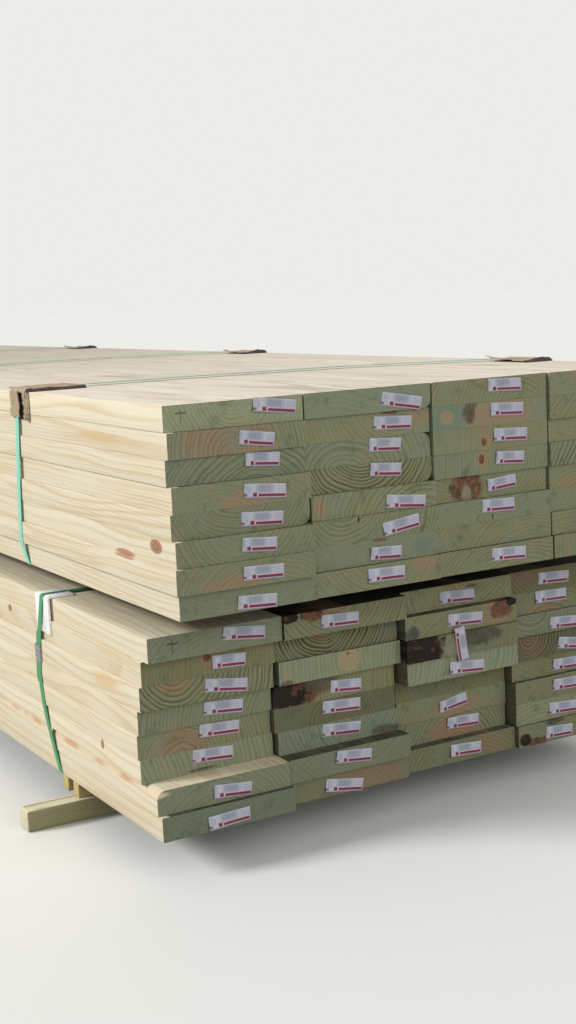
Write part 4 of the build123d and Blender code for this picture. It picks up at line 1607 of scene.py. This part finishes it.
class LUMBER_OT_stage(Operator):
    """Sets the floor, the light and the camera."""

    bl_idname = "lumber.stage"
    bl_label = "Stage"

    def execute(self, context):
        settings = context.scene.lumber_stage
        deselect()
        bpy.ops.mesh.primitive_grid_add(
            x_subdivisions=FLOOR_FACES, y_subdivisions=FLOOR_FACES, size=settings.floor_size
        )
        floor = bpy.context.active_object
        floor.name = "floor"
        floor.data.materials.append(floor_paint(settings.floor))
        light_world(settings)
        add_sun("key", settings.key, settings.key_softness, settings.key_from)
        add_sun("fill", settings.fill, settings.fill_softness, settings.fill_from)
        eye = bpy.data.objects.new("camera", bpy.data.cameras.new("camera"))
        eye.data.lens = settings.lens
        eye.matrix_world = (
            Matrix.Translation(settings.eye)
            @ Matrix.Rotation(-settings.azimuth, 4, "Z")
            @ Matrix.Rotation(math.pi / 2 - settings.dip, 4, "X")
            @ Matrix.Rotation(-settings.roll, 4, "Z")
        )
        context.scene.collection.objects.link(eye)
        context.scene.camera = eye
        context.scene.view_settings.view_transform = "Standard"
        return {"FINISHED"}


def floor_paint(tint):
    """Pale where it is seen or mirrored, and darker for the light that it throws back."""
    floor = Finish("floor")
    path = floor.node("ShaderNodeLightPath").outputs
    seen = floor.math("ADD", path["Is Camera Ray"], path["Is Glossy Ray"], clamp=True)
    seen = floor.math("ADD", seen, path["Is Transmission Ray"], clamp=True)
    speck = floor.noise(floor.place(), 3, 3)
    pale = floor.over(tint, (speck, 0.05, tuple(FLOOR_SPECK * part for part in tint)))
    return floor.done(floor.blend(seen, FLOOR_BOUNCE, pale), 0.95)


def light_world(settings):
    """Even light from all round, and a pale background where it is seen."""
    world = bpy.data.worlds.new("studio")
    bpy.context.scene.world = world
    world.use_nodes = True
    tree = world.node_tree
    background = tree.nodes["Background"]
    path = tree.nodes.new("ShaderNodeLightPath")
    seen = tree.nodes.new("ShaderNodeMath")
    seen.operation = "MAXIMUM"
    tree.links.new(path.outputs["Is Camera Ray"], seen.inputs[0])
    tree.links.new(path.outputs["Is Glossy Ray"], seen.inputs[1])
    strength = tree.nodes.new("ShaderNodeMapRange")
    strength.inputs["To Min"].default_value = settings.ambient
    strength.inputs["To Max"].default_value = 1.0
    tree.links.new(seen.outputs[0], strength.inputs["Value"])
    background.inputs["Color"].default_value = (*settings.floor, 1.0)
    tree.links.new(strength.outputs["Result"], background.inputs["Strength"])


def add_sun(name, strength, softness, source):
    """A soft lamp that shines from the source's direction to the middle."""
    lamp = bpy.data.objects.new(name, bpy.data.lights.new(name, "SUN"))
    lamp.data.energy = strength
    lamp.data.angle = softness
    lamp.rotation_euler = Vector(source).to_track_quat("Z", "Y").to_euler()
    bpy.context.scene.collection.objects.link(lamp)


class LUMBER_PT_stack(Panel):
    """Lists the stack's pieces, one button each."""

    bl_idname = "LUMBER_PT_stack"
    bl_label = "Lumber stack"
    bl_space_type = "VIEW_3D"
    bl_region_type = "UI"
    bl_category = "Lumber"

    def draw(self, context):
        for operator in OPERATORS:
            self.layout.operator(operator.bl_idname)


OPERATORS = (
    LUMBER_OT_boards,
    LUMBER_OT_supports,
    LUMBER_OT_straps,
    LUMBER_OT_protectors,
    LUMBER_OT_tags,
    LUMBER_OT_stage,
)
SETTINGS = {
    "lumber_boards": BoardSettings,
    "lumber_tags": TagSettings,
    "lumber_straps": StrapSettings,
    "lumber_supports": SupportSettings,
    "lumber_stage": StageSettings,
}


def register():
    """Adds the settings, the operators and the panel."""
    for name, group in SETTINGS.items():
        bpy.utils.register_class(group)
        setattr(bpy.types.Scene, name, PointerProperty(type=group))
    for kind in (*OPERATORS, LUMBER_PT_stack):
        bpy.utils.register_class(kind)


def unregister():
    """Takes them away again."""
    for kind in reversed((*OPERATORS, LUMBER_PT_stack)):
        bpy.utils.unregister_class(kind)
    for name, group in reversed(SETTINGS.items()):
        delattr(bpy.types.Scene, name)
        bpy.utils.unregister_class(group)


def plain(box):
    """A box's two corners as lists."""
    return [list(corner) for corner in box]


def main():
    """Dresses the whole stack."""
    register()
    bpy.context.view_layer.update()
    bpy.ops.lumber.boards()
    bpy.ops.lumber.supports()
    bpy.ops.lumber.straps()
    bpy.ops.lumber.protectors()
    bpy.ops.lumber.tags()
    bpy.ops.lumber.stage()


if __name__ == "__main__":
    main()
